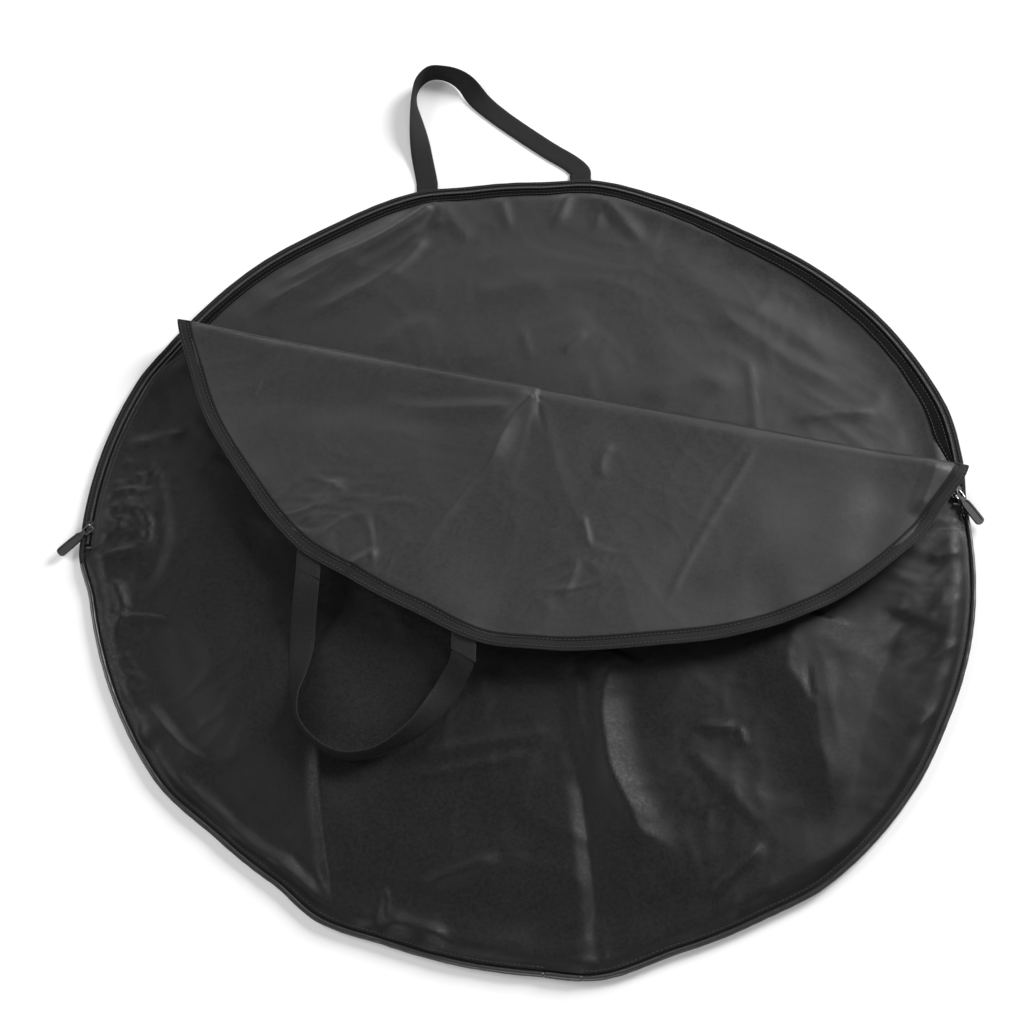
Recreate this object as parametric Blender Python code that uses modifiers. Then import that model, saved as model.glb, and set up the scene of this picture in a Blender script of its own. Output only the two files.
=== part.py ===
"""Round padded bag for one bicycle wheel, lying flat with its zip open.

The bag lies on its back panel, +Z up, with the top of the bag towards +Y. The origin is the
centre of the back panel's underside. Its front panel is cut along a fold line. The flap above
that line is modelled in its closed place and then turned half a turn about the fold's axis, so
that closing the bag takes it back to exactly where it was modelled.

All lengths are metres and all angles are degrees.
"""

import math

import bmesh
import bpy
from mathutils import Matrix, Vector

# Rim
RIM_RADIUS = 0.365
RIM_STEPS = 180

# The lying bag isn't quite round: directions from +X, each with its share of the rim's radius.
# Along the slider's run the two shares are equal, so that the slider can travel on a circle.
SLIDER_RUN_SHARE = 1.037
RIM_SHARES = (
    (3.0, 0.990), (11.0, 1.011), (20.0, 1.029), (33.0, 1.027), (45.0, 1.017), (59.0, 1.003),
    (72.0, 1.015), (81.0, 1.027), (90.0, 1.010), (99.0, 1.010), (108.0, 1.025), (122.0, 1.014),
    (133.0, 1.021), (143.0, 1.023), (150.0, 1.027), (157.0, SLIDER_RUN_SHARE),
    (182.5, SLIDER_RUN_SHARE), (190.0, 1.012), (204.0, 1.005), (216.0, 0.997), (228.0, 0.963),
    (236.0, 0.963), (244.0, 0.992), (252.0, 0.980), (262.0, 0.994), (270.0, 1.005),
    (277.0, 1.020), (287.0, 0.991), (297.0, 0.993), (306.0, 1.015), (323.0, 1.018), (345.0, 1.004),
)

# Layers of the lying bag, from the floor up
GAP = 0.0003
CLOTH = 0.0008
BACK_CLOTH = 0.0007
STRAP_THICKNESS = 0.0015
TAPE_THICKNESS = 0.0005
COIL_HEIGHT = 0.001
PLATE_THICKNESS = 0.0008
BACK_RING_LOW = STRAP_THICKNESS + GAP
BACK_RING_TOP = BACK_RING_LOW + BACK_CLOTH
SLIDER_LOW = BACK_RING_TOP + GAP
TAPE_LOW = SLIDER_LOW + PLATE_THICKNESS + GAP
TAPE_TOP = TAPE_LOW + TAPE_THICKNESS
FRONT_RING_LOW = TAPE_TOP + GAP
FRONT_RING_TOP = FRONT_RING_LOW + CLOTH
COIL_LOW = TAPE_TOP + GAP
COIL_TOP = COIL_LOW + COIL_HEIGHT
CROWN_RISE = 0.0043

# Distances inwards from the rim
PANEL_EDGE_INSET = 0.0039
FRONT_EDGE_INSET = 0.0044
BINDING_DIAMETER = 0.0034
PIPING_DIAMETER = 0.004
PIPING_JOINT_DIAMETER = 0.0044
PIPING_JOINT_LENGTH = 0.024
BACK_TAPE_OUTER = 0.0037
BACK_TAPE_INNER = 0.0078
CHAIN_INSET = 0.009
FRONT_TAPE_OUTER = 0.0102
FRONT_TAPE_INNER = 0.022
COIL_WIDTH = 0.0014
ZIP_CLOTH_INSET = 0.017
EDGE_BLEND_INSET = 0.030
RING_INNER_INSET = 0.045
RAMP_INNER_INSET = 0.075

# Where the zip and the two kinds of edging begin and end, round from +X
ZIP_LEFT_ANGLE = 182.2
ZIP_RIGHT_ANGLE = 4.4
EDGING_LEFT_ANGLE = 184.5
EDGING_RIGHT_ANGLE = 2.6
EDGE_BLEND_ANGLE = 2.0
PIPING_JOINT_ANGLE = 273.0

# Fold line of the flap, from tip to tip
FOLD_LEFT_ANGLE = 148.4
FOLD_RIGHT_ANGLE = 7.4
FOLD_TIP_INSET = 0.0015
FOLD_HEIGHT = 0.018
FOLD_BULGE = 0.005
FOLD_STATIONS = 24
FOLD_ARC_STEPS = 8
CUTTER_REACH = 0.6

# Webbing handles
STRAP_WIDTH = 0.020
LEG_X = (-0.102, 0.041)
HINGE_CLEARANCE = 0.0035
SEWN_LENGTH = 0.036
LOOP_STEPS = 5
PANEL_REST_HEIGHT = FRONT_RING_TOP + CROWN_RISE + GAP
FRONT_STRAP_LOW = COIL_TOP + GAP

# Each loop leaves its sewn ends straight
STRAIGHT_LEADS = (GAP / 2.0, 0.003, 0.010)

# Loop of the back handle: sideways from the left leg, outwards, height of its lower edge, bank
BACK_LOOP = (
    (-0.003, 0.040, 0.0000, 80),
    (-0.005, 0.072, 0.0000, 45),
    (-0.006, 0.104, 0.0000, 8),
    (-0.002, 0.123, 0.0000, 0),
    (0.010, 0.136, 0.0000, 0),
    (0.026, 0.137, 0.0000, 4),
    (0.042, 0.124, 0.0000, 32),
    (0.055, 0.099, 0.0000, 78),
    (0.072, 0.076, 0.0000, 88),
    (0.093, 0.054, 0.0000, 90),
    (0.116, 0.034, 0.0000, 90),
    (0.135, 0.023, 0.0000, 90),
)

# Loop of the front handle, folded down: sideways from the left leg, outwards, bank
FRONT_LOOP = (
    (0.009, 0.022, 88),
    (0.023, 0.041, 82),
    (0.036, 0.061, 58),
    (0.049, 0.083, 20),
    (0.062, 0.099, 2),
    (0.078, 0.108, 0),
    (0.098, 0.111, 0),
    (0.117, 0.106, 0),
    (0.134, 0.089, 2),
    (0.146, 0.066, 8),
    (0.150, 0.044, 28),
    (0.148, 0.026, 62),
)
FRONT_LOOP_DROP_SHARES = (0.45, 0.88, 1.0, 1.0, 1.0, 1.0, 1.0, 1.0, 1.0, 1.0, 0.90, 0.50)

# Zip sliders, their wire links and moulded grips
SLIDER_LENGTH = 0.011
SLIDER_WIDTH = 0.0096
SLIDER_TAIL_WIDTH = 0.0078
SLIDER_TOP_LOW = COIL_TOP + GAP
SLIDER_TOP_THICKNESS = 0.001
FLANGE_THICKNESS = 0.0008
DIAMOND_WIDTH = 0.0016
DIAMOND_LENGTH = 0.0034
CROWN_LENGTH = 0.0048
CROWN_WIDTH = 0.0016
CROWN_OPENING_LENGTH = 0.0034
CROWN_OPENING_HEIGHT = 0.0016
CROWN_WALL = 0.0009
WIRE_DIAMETER = 0.001
LINK_HALF_WIDTH = 0.003
LINK_LENGTH = 0.008
LINK_CORNER = 0.0012
GRIP_LENGTH = 0.027
GRIP_WIDTH = 0.0078
GRIP_NECK_WIDTH = 0.0042
GRIP_NECK_LENGTH = 0.003
GRIP_THICKNESS = 0.0024
GRIP_TUNNEL_DIAMETER = 0.0016
GRIP_RECESS_DEPTH = 0.0005
GRIP_BORDER = 0.0014
PULL_PIVOT_HEIGHT = SLIDER_TOP_LOW + SLIDER_TOP_THICKNESS + 0.0008
LEFT_SLIDER_ANGLE = 179.5
RIGHT_SLIDER_ANGLE = 5.9
LEFT_PULL_HEADING = 225.0
RIGHT_PULL_HEADING = 300.0
LEFT_PULL_DIP = 4.0
RIGHT_PULL_DIP = 0.5
END_STOP_LENGTH = 0.0018
END_STOP_WIDTH = 0.006
END_STOP_TOP = COIL_TOP + 0.0002

COLOURS = {
    "cloth_inside": (0.065, 0.066, 0.068, 1.0),
    "cloth_outside": (0.028, 0.029, 0.031, 1.0),
    "webbing": (0.018, 0.018, 0.020, 1.0),
    "zip_tape": (0.020, 0.020, 0.022, 1.0),
    "nylon": (0.030, 0.030, 0.032, 1.0),
    "piping": (0.045, 0.045, 0.048, 1.0),
    "slider_metal": (0.055, 0.055, 0.060, 1.0),
    "link_wire": (0.55, 0.55, 0.56, 1.0),
    "grip": (0.030, 0.030, 0.032, 1.0),
}


def clear_scene():
    """Remove everything that a new file holds."""
    for item in list(bpy.data.objects):
        bpy.data.objects.remove(item, do_unlink=True)


def make_collection(name):
    """Return a new collection linked to the scene."""
    collection = bpy.data.collections.new(name)
    bpy.context.scene.collection.children.link(collection)
    return collection


clear_scene()
PARTS = make_collection("wheel_bag")
CUTTERS = make_collection("cutters")


def make_material(name, colour, roughness, metallic=0.0):
    """Return a Principled material."""
    material = bpy.data.materials.new(name)
    material.use_nodes = True
    shader = material.node_tree.nodes["Principled BSDF"]
    shader.inputs["Base Color"].default_value = COLOURS[colour]
    shader.inputs["Roughness"].default_value = roughness
    shader.inputs["Metallic"].default_value = metallic
    return material


def finish(part, name, colour, roughness=0.7, metallic=0.0):
    """Name a part, give it its material and put it with the other parts."""
    part.name = name
    part.data.name = name
    part.data.materials.clear()
    part.data.materials.append(make_material(name, colour, roughness, metallic))
    for collection in list(part.users_collection):
        collection.objects.unlink(part)
    PARTS.objects.link(part)
    return part


def object_from_mesh(name, mesh, collection=None):
    """Link a mesh as an object."""
    part = bpy.data.objects.new(name, mesh)
    (collection or PARTS).objects.link(part)
    return part


def as_mesh_object(source):
    """Replace an object by the mesh that it evaluates to, with loose caps welded."""
    bpy.context.view_layer.update()
    evaluated = source.evaluated_get(bpy.context.evaluated_depsgraph_get())
    mesh = bpy.data.meshes.new_from_object(evaluated)
    shape = bmesh.new()
    shape.from_mesh(mesh)
    bmesh.ops.remove_doubles(shape, verts=shape.verts, dist=0.00001)
    bmesh.ops.recalc_face_normals(shape, faces=shape.faces)
    shape.to_mesh(mesh)
    shape.free()
    made = object_from_mesh(source.name + "_mesh", mesh)
    made.matrix_world = source.matrix_world
    bpy.data.objects.remove(source, do_unlink=True)
    return made


def smooth_step(share):
    """Ease a share from 0 to 1 with level ends."""
    clipped = min(max(share, 0.0), 1.0)
    return clipped * clipped * (3.0 - 2.0 * clipped)


def share_slope(index):
    """Return the slope of the rim's share at a station: level at a peak or beside an even run."""
    before, here, after = (RIM_SHARES[(index + step) % len(RIM_SHARES)] for step in (-1, 0, 1))
    arriving = (here[1] - before[1]) / ((here[0] - before[0]) % 360.0)
    leaving = (after[1] - here[1]) / ((after[0] - here[0]) % 360.0)
    if arriving * leaving <= 0.0:
        return 0.0
    return 2.0 * arriving * leaving / (arriving + leaving)


def rim_radius(angle):
    """Return the rim's distance from the origin in one direction."""
    turned = (angle - RIM_SHARES[0][0]) % 360.0 + RIM_SHARES[0][0]
    first = max(index for index, station in enumerate(RIM_SHARES) if station[0] <= turned)
    start, low = RIM_SHARES[first]
    stop, high = RIM_SHARES[(first + 1) % len(RIM_SHARES)]
    span = (stop - start) % 360.0
    way = (turned - start) / span
    blend = smooth_step(way)
    leave = share_slope(first) * span * way * (1.0 - way) ** 2
    arrive = share_slope(first + 1) * span * way ** 2 * (way - 1.0)
    return RIM_RADIUS * (low * (1.0 - blend) + high * blend + leave + arrive)


def rim_point(angle, inset, height=0.0):
    """Return a point a given distance inside the rim."""
    radius = rim_radius(angle) - inset
    turn = math.radians(angle)
    return Vector((radius * math.cos(turn), radius * math.sin(turn), height))


def rim_angles(start, stop):
    """Return the angles from start to stop: both ends and every even step between them."""
    step = 360.0 / RIM_STEPS
    first = math.floor(start / step + 0.25) + 1
    last = math.ceil(stop / step - 0.25)
    angles = [start] + [index * step for index in range(first, last)] + [stop]
    shared = [angle for angle in (ZIP_RIGHT_ANGLE, ZIP_LEFT_ANGLE) if start < angle < stop]
    return sorted(angles + shared)


def angle_of(point):
    """Return a point's direction from the origin, from 0 up to 360."""
    return math.degrees(math.atan2(point.y, point.x)) % 360.0


def edge_inset(angle):
    """Return how far the front cloth stops inside the rim: less where it is sewn to the piping."""
    turned = angle % 360.0
    if turned > 270.0:
        turned -= 360.0
    left = smooth_step((EDGING_LEFT_ANGLE + EDGE_BLEND_ANGLE - turned) / EDGE_BLEND_ANGLE)
    right = smooth_step((turned - EDGING_RIGHT_ANGLE + EDGE_BLEND_ANGLE) / EDGE_BLEND_ANGLE)
    zipped = min(left, right)
    return FRONT_EDGE_INSET + (ZIP_CLOTH_INSET - FRONT_EDGE_INSET) * zipped


def to_outline(point, follow_edge):
    """Move a point of a turned disc so that the disc takes the rim's outline."""
    radius = math.hypot(point.x, point.y)
    if radius == 0.0:
        return point.copy()
    angle = angle_of(point)
    inset = RIM_RADIUS - radius
    if follow_edge and inset < EDGE_BLEND_INSET:
        share = (EDGE_BLEND_INSET - inset) / (EDGE_BLEND_INSET - ZIP_CLOTH_INSET)
        inset = EDGE_BLEND_INSET + (edge_inset(angle) - EDGE_BLEND_INSET) * share
    if inset <= RAMP_INNER_INSET:
        wanted = rim_radius(angle) - inset
    else:
        flat_radius = RIM_RADIUS - RAMP_INNER_INSET
        wanted = radius * (rim_radius(angle) - RAMP_INNER_INSET) / flat_radius
    scale = wanted / radius
    return Vector((point.x * scale, point.y * scale, point.z))


def turned_panel(name, profile, follow_edge):
    """Return a disc turned from a profile and drawn out to the rim's outline."""
    mesh = bpy.data.meshes.new(name)
    points = [(radius, 0.0, height) for radius, height in profile]
    mesh.from_pydata(points, [(index, index + 1) for index in range(len(points) - 1)], [])
    disc = object_from_mesh(name, mesh)
    screw = disc.modifiers.new("turn", "SCREW")
    screw.steps = RIM_STEPS
    screw.render_steps = RIM_STEPS
    screw.use_merge_vertices = True
    screw.merge_threshold = 0.00001
    disc = as_mesh_object(disc)
    for vertex in disc.data.vertices:
        vertex.co = to_outline(vertex.co, follow_edge)
    return disc


def front_profile():
    """Return the closed front's section: level ring, ramp and raised middle, one cloth thick."""
    edge = RIM_RADIUS - ZIP_CLOTH_INSET
    blend = RIM_RADIUS - EDGE_BLEND_INSET
    ring = RIM_RADIUS - RING_INNER_INSET
    ramp = RIM_RADIUS - RAMP_INNER_INSET
    middle_top = FRONT_RING_TOP + CROWN_RISE
    middle_low = FRONT_RING_LOW + CROWN_RISE
    return (
        (0.0, middle_top),
        (ramp, middle_top),
        (ring, FRONT_RING_TOP),
        (blend, FRONT_RING_TOP),
        (edge, FRONT_RING_TOP),
        (edge, FRONT_RING_LOW),
        (blend, FRONT_RING_LOW),
        (ring, FRONT_RING_LOW),
        (ramp, middle_low),
        (0.0, middle_low),
    )


def back_profile():
    """Return the back panel's section: flat on the floor, with its outer ring raised."""
    edge = RIM_RADIUS - PANEL_EDGE_INSET
    ring = RIM_RADIUS - RING_INNER_INSET
    ramp = RIM_RADIUS - RAMP_INNER_INSET
    return (
        (0.0, BACK_CLOTH),
        (ramp, BACK_CLOTH),
        (ring, BACK_RING_TOP),
        (edge, BACK_RING_TOP),
        (edge, BACK_RING_LOW),
        (ring, BACK_RING_LOW),
        (ramp, 0.0),
        (0.0, 0.0),
    )


def front_height(point):
    """Return the height of the closed front cloth's middle layer over a point."""
    inset = rim_radius(angle_of(point)) - math.hypot(point.x, point.y)
    share = (inset - RING_INNER_INSET) / (RAMP_INNER_INSET - RING_INNER_INSET)
    rise = CROWN_RISE * min(max(share, 0.0), 1.0)
    return FRONT_RING_LOW + CLOTH / 2.0 + rise


# Ends and directions of the fold line
FOLD_LEFT = rim_point(FOLD_LEFT_ANGLE, FOLD_TIP_INSET).xy
FOLD_RIGHT = rim_point(FOLD_RIGHT_ANGLE, FOLD_TIP_INSET).xy
FOLD_ALONG = (FOLD_RIGHT - FOLD_LEFT).normalized()
FOLD_ACROSS = Vector((-FOLD_ALONG.y, FOLD_ALONG.x))
FOLD_POINT = Vector((FOLD_LEFT.x, FOLD_LEFT.y, FOLD_HEIGHT))
FOLD_AXIS = Vector((FOLD_ALONG.x, FOLD_ALONG.y, 0.0))
FOLD_OVER = (
    Matrix.Translation(FOLD_POINT)
    @ Matrix.Rotation(math.pi, 4, FOLD_AXIS)
    @ Matrix.Translation(-FOLD_POINT)
)


def fold_place(along, across, height):
    """Return a point by its distance along the fold line and across it."""
    flat = FOLD_LEFT + FOLD_ALONG * along + FOLD_ACROSS * across
    return Vector((flat.x, flat.y, height))


def fold_cutter(name, side):
    """Return a box that covers all on one side of the fold line, and the gap at the line."""
    shape = bmesh.new()
    bmesh.ops.create_cube(shape, size=1.0)
    mesh = bpy.data.meshes.new(name)
    shape.to_mesh(mesh)
    shape.free()
    middle = (FOLD_RIGHT - FOLD_LEFT).length / 2.0
    centre = fold_place(middle, side * (CUTTER_REACH / 2.0 - GAP), 0.0)
    turn = math.atan2(FOLD_ALONG.y, FOLD_ALONG.x)
    size = Matrix.Diagonal((2.0 * CUTTER_REACH, CUTTER_REACH, CUTTER_REACH, 1.0))
    mesh.transform(Matrix.Translation(centre) @ Matrix.Rotation(turn, 4, "Z") @ size)
    cutter = object_from_mesh(name, mesh, CUTTERS)
    cutter.hide_render = True
    cutter.display_type = "WIRE"
    return cutter


def cut(part, cutter, operation="DIFFERENCE"):
    """Add an exact Boolean to a part."""
    boolean = part.modifiers.new(cutter.name, "BOOLEAN")
    boolean.operation = operation
    boolean.solver = "EXACT"
    boolean.object = cutter
    return part


def flat_piece(name, outline, low, high):
    """Return a flat outline drawn up from one height to another."""
    curve = bpy.data.curves.new(name, "CURVE")
    curve.dimensions = "2D"
    curve.fill_mode = "BOTH"
    curve.extrude = (high - low) / 2.0
    spline = curve.splines.new("POLY")
    spline.points.add(len(outline) - 1)
    for target, point in zip(spline.points, outline):
        target.co = (point[0], point[1], 0.0, 1.0)
    spline.use_cyclic_u = True
    plate = bpy.data.objects.new(name, curve)
    PARTS.objects.link(plate)
    plate.location.z = (low + high) / 2.0
    plate = as_mesh_object(plate)
    plate.data.transform(plate.matrix_world)
    plate.matrix_world = Matrix.Identity(4)
    return plate


def rim_strip(name, start, stop, insets, heights):
    """Return a flat strip that follows the rim between two insets and two heights."""
    angles = rim_angles(start, stop)
    outer = [rim_point(angle, insets[0]) for angle in angles]
    inner = [rim_point(angle, insets[1]) for angle in reversed(angles)]
    return flat_piece(name, outer + inner, heights[0], heights[1])


def rim_tube(name, start, stop, diameter, inset):
    """Return a tube that follows the rim at an inset, level with the raised ring's underside."""
    curve = bpy.data.curves.new(name, "CURVE")
    curve.dimensions = "3D"
    curve.bevel_depth = diameter / 2.0
    curve.bevel_resolution = 2
    curve.use_fill_caps = True
    angles = rim_angles(start, stop)
    height = BACK_RING_LOW + diameter / 2.0
    spline = curve.splines.new("POLY")
    spline.points.add(len(angles) - 1)
    for target, angle in zip(spline.points, angles):
        target.co = (*rim_point(angle, inset, height), 1.0)
    tube = bpy.data.objects.new(name, curve)
    PARTS.objects.link(tube)
    return as_mesh_object(tube)


def fold_strip(name, start, stop, thickness, layer_height):
    """Return cloth rolled over the fold: a loft whose sections follow the height of the front."""
    shape = bmesh.new()
    rows = []
    for station in range(FOLD_STATIONS + 1):
        along = start + (stop - start) * station / FOLD_STATIONS
        height = layer_height(fold_place(along, 0.0, 0.0))
        reach = FOLD_HEIGHT - height
        bulge = FOLD_BULGE + (FRONT_RING_LOW + CLOTH / 2.0 - layer_height(fold_place(start, 0.0, 0.0)))
        row = []
        for step in range(FOLD_ARC_STEPS + 1):
            turn = math.pi * (step / FOLD_ARC_STEPS - 0.5)
            place = fold_place(along, bulge * math.cos(turn), FOLD_HEIGHT + reach * math.sin(turn))
            row.append(shape.verts.new(place))
        rows.append(row)
    for first, second in zip(rows, rows[1:]):
        for step in range(FOLD_ARC_STEPS):
            shape.faces.new((first[step], second[step], second[step + 1], first[step + 1]))
    mesh = bpy.data.meshes.new(name)
    shape.to_mesh(mesh)
    shape.free()
    strip = object_from_mesh(name, mesh)
    shell = strip.modifiers.new("thickness", "SOLIDIFY")
    shell.thickness = thickness
    shell.offset = 0.0
    return as_mesh_object(strip)


def along_at_inset(wanted, from_left):
    """Return the distance along the fold line at which it is a given depth inside the rim."""
    whole = (FOLD_RIGHT - FOLD_LEFT).length
    low = 0.0 if from_left else whole
    high = whole / 2.0
    for _ in range(40):
        middle = (low + high) / 2.0
        point = fold_place(middle, 0.0, 0.0)
        inset = rim_radius(angle_of(point)) - math.hypot(point.x, point.y)
        if inset < wanted:
            low = middle
        else:
            high = middle
    return (low + high) / 2.0


def tape_height(_point):
    """Return the height of the zip tape's middle layer, the same all along."""
    return TAPE_LOW + TAPE_THICKNESS / 2.0


def rim_height_at(x):
    """Return the Y of the upper rim over an X."""
    y = RIM_RADIUS
    for _ in range(20):
        y = math.sqrt(rim_radius(angle_of(Vector((x, y)))) ** 2 - x * x)
    return y


# Hinge line of both handles in the closed bag: just outside the rim, from leg to leg
LEG_LEFT = Vector((LEG_X[0], rim_height_at(LEG_X[0]) + HINGE_CLEARANCE))
LEG_RIGHT = Vector((LEG_X[1], rim_height_at(LEG_X[1]) + HINGE_CLEARANCE))
LEG_ALONG = (LEG_RIGHT - LEG_LEFT).normalized()
LEG_OUT = Vector((-LEG_ALONG.y, LEG_ALONG.x))
LEGS = (LEG_LEFT, LEG_RIGHT)


def leg_place(leg, aside, outwards, height):
    """Return a point by its distance beside and beyond a handle leg's hinge point."""
    flat = leg + LEG_ALONG * aside + LEG_OUT * outwards
    return Vector((flat.x, flat.y, height))


def sewn_end(name, leg, low):
    """Return the flat end of a handle, sewn along the panel and standing out past the rim."""
    half = STRAP_WIDTH / 2.0
    corners = ((-half, -SEWN_LENGTH), (half, -SEWN_LENGTH), (half, -GAP / 2.0), (-half, -GAP / 2.0))
    outline = [leg_place(leg, aside, outwards, 0.0) for aside, outwards in corners]
    return flat_piece(name, outline, low, low + STRAP_THICKNESS)


def smooth_route(stations):
    """Return a smooth run of points through the stations, each a point and a bank in degrees."""
    route = []
    count = len(stations)
    for index in range(count - 1):
        before = stations[max(index - 1, 0)]
        first = stations[index]
        second = stations[index + 1]
        after = stations[min(index + 2, count - 1)]
        for step in range(LOOP_STEPS):
            share = step / LOOP_STEPS
            values = []
            for p0, p1, p2, p3 in zip(before, first, second, after):
                value = (
                    2.0 * p1
                    + (p2 - p0) * share
                    + (2.0 * p0 - 5.0 * p1 + 4.0 * p2 - p3) * share ** 2
                    + (3.0 * p1 - p0 - 3.0 * p2 + p3) * share ** 3
                )
                values.append(value / 2.0)
            route.append(tuple(values))
    route.append(stations[-1])
    return route


def strap_loop(name, stations):
    """Return webbing along stations of x, y, lower height and bank (0 on edge, 90 flat)."""
    curve = bpy.data.curves.new(name, "CURVE")
    curve.dimensions = "3D"
    curve.twist_mode = "Z_UP"
    curve.extrude = STRAP_WIDTH / 2.0
    route = smooth_route(stations)
    spline = curve.splines.new("POLY")
    spline.points.add(len(route) - 1)
    for target, (x, y, low, bank) in zip(spline.points, route):
        bank = min(max(bank, 0.0), 90.0)
        turn = math.radians(bank)
        rise = (STRAP_WIDTH * math.cos(turn) + STRAP_THICKNESS * math.sin(turn)) / 2.0
        target.co = (x, y, low + rise, 1.0)
        target.tilt = turn
    strap = bpy.data.objects.new(name, curve)
    PARTS.objects.link(strap)
    strap = as_mesh_object(strap)
    shell = strap.modifiers.new("thickness", "SOLIDIFY")
    shell.thickness = STRAP_THICKNESS
    shell.offset = 0.0
    return as_mesh_object(strap)


def lead_stations(leg, height, fold):
    """Return the straight stations of a loop beyond one leg, from its sewn end outwards."""
    places = [fold @ leg_place(leg, 0.0, outwards, height) for outwards in STRAIGHT_LEADS]
    return [(place.x, place.y, place.z, 90) for place in places]


def back_loop_stations():
    """Return the back handle's loop, lying on the floor beyond the rim."""
    level = Matrix.Identity(4)
    stations = lead_stations(LEG_LEFT, 0.0, level)
    for aside, outwards, low, bank in BACK_LOOP:
        place = leg_place(LEG_LEFT, aside, outwards, low)
        stations.append((place.x, place.y, place.z, bank))
    return stations + list(reversed(lead_stations(LEG_RIGHT, 0.0, level)))


def front_loop_stations():
    """Return the front handle's loop, hanging from the folded flap on to the front panel."""
    stations = lead_stations(LEG_LEFT, FRONT_STRAP_LOW + STRAP_THICKNESS, FOLD_OVER)
    top = stations[0][2]
    drop = top - PANEL_REST_HEIGHT
    for (aside, outwards, bank), share in zip(FRONT_LOOP, FRONT_LOOP_DROP_SHARES):
        place = FOLD_OVER @ leg_place(LEG_LEFT, aside, outwards, 0.0)
        stations.append((place.x, place.y, top - drop * share, bank))
    return stations + list(reversed(lead_stations(LEG_RIGHT, FRONT_STRAP_LOW + STRAP_THICKNESS, FOLD_OVER)))


def slider_outline(scale_inwards):
    """Return the plan of a slider plate: wide shoulders, narrower tail and rounded corners."""
    half = SLIDER_LENGTH / 2.0 - scale_inwards
    wide = SLIDER_WIDTH / 2.0 - scale_inwards
    narrow = SLIDER_TAIL_WIDTH / 2.0 - scale_inwards
    right = (
        (wide * 0.62, half),
        (wide * 0.92, half * 0.82),
        (wide, half * 0.45),
        (wide * 0.96, half * 0.10),
        (narrow, -half * 0.35),
        (narrow * 0.97, -half * 0.80),
        (narrow * 0.70, -half),
    )
    left = tuple((-x, y) for x, y in reversed(right))
    return right + left


def box_piece(name, size, centre):
    """Return a box of a given size about a centre."""
    shape = bmesh.new()
    bmesh.ops.create_cube(shape, size=1.0)
    mesh = bpy.data.meshes.new(name)
    shape.to_mesh(mesh)
    shape.free()
    mesh.transform(Matrix.Translation(centre) @ Matrix.Diagonal((*size, 1.0)))
    return object_from_mesh(name, mesh, CUTTERS)


def hide_tool(tool):
    """Keep a joined or cutting shape out of the model."""
    tool.hide_render = True
    tool.display_type = "WIRE"
    for collection in list(tool.users_collection):
        collection.objects.unlink(tool)
    CUTTERS.objects.link(tool)
    return tool


def make_slider(name, angle):
    """Return a slider: two plates joined by the diamond, side flanges and an arched crown."""
    top_high = SLIDER_TOP_LOW + SLIDER_TOP_THICKNESS
    slider = flat_piece(name, slider_outline(0.0), SLIDER_TOP_LOW, top_high)
    bottom = hide_tool(flat_piece(name + "_bottom", slider_outline(0.0), SLIDER_LOW, SLIDER_LOW + PLATE_THICKNESS))
    sink = PLATE_THICKNESS / 2.0
    diamond_low = SLIDER_LOW + sink
    diamond_high = SLIDER_TOP_LOW + sink
    half_width = DIAMOND_WIDTH / 2.0
    tip = SLIDER_LENGTH / 2.0 - FLANGE_THICKNESS
    diamond_plan = (
        (0.0, tip),
        (half_width, tip - DIAMOND_LENGTH / 3.0),
        (half_width / 2.0, tip - DIAMOND_LENGTH),
        (-half_width / 2.0, tip - DIAMOND_LENGTH),
        (-half_width, tip - DIAMOND_LENGTH / 3.0),
    )
    diamond = hide_tool(flat_piece(name + "_diamond", diamond_plan, diamond_low, diamond_high))
    tools = [bottom, diamond]
    flange_low = TAPE_TOP + GAP
    flange_height = top_high - sink - flange_low
    for side in (-1.0, 1.0):
        centre = Vector((
            side * (SLIDER_TAIL_WIDTH - FLANGE_THICKNESS) / 2.0,
            -SLIDER_LENGTH * 0.08,
            flange_low + flange_height / 2.0,
        ))
        size = (FLANGE_THICKNESS, SLIDER_LENGTH * 0.7, flange_height)
        tools.append(hide_tool(box_piece(name + "_flange" + str(side), size, centre)))
    crown_high = top_high + CROWN_OPENING_HEIGHT + CROWN_WALL
    crown_centre = Vector((0.0, 0.0, (crown_high + top_high - sink) / 2.0))
    crown = box_piece(name + "_crown", (CROWN_WIDTH, CROWN_LENGTH, crown_high - top_high + sink), crown_centre)
    crown = hide_tool(crown)
    bevel = crown.modifiers.new("rounded", "BEVEL")
    bevel.width = CROWN_WALL * 0.6
    bevel.segments = 2
    tools.append(crown)
    for tool in tools:
        cut(slider, tool, "UNION")
    opening_centre = Vector((0.0, 0.0, top_high + CROWN_OPENING_HEIGHT / 2.0))
    opening_size = (CROWN_WIDTH * 2.0, CROWN_OPENING_LENGTH, CROWN_OPENING_HEIGHT)
    cut(slider, hide_tool(box_piece(name + "_opening", opening_size, opening_centre)))
    slider = as_mesh_object(slider)
    slider.data.transform(slider_matrix(angle))
    return slider


def slider_matrix(angle):
    """Return the place of a slider on the zip: its shoulders point up along the zip."""
    place = rim_point(angle, CHAIN_INSET)
    ahead = rim_point(angle + 1.0, CHAIN_INSET) - rim_point(angle - 1.0, CHAIN_INSET)
    if ahead.y < 0.0:
        ahead = -ahead
    turn = math.atan2(ahead.y, ahead.x) - math.pi / 2.0
    return Matrix.Translation(place) @ Matrix.Rotation(turn, 4, "Z")


def pull_matrix(angle, heading, dip):
    """Return the place of a pull: its wire's pivot in the crown, heading out and dipping."""
    pivot = rim_point(angle, CHAIN_INSET, PULL_PIVOT_HEIGHT)
    turn = Matrix.Rotation(math.radians(heading), 4, "Z")
    tilt = Matrix.Rotation(math.radians(dip), 4, "Y")
    return Matrix.Translation(pivot) @ turn @ tilt


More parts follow.
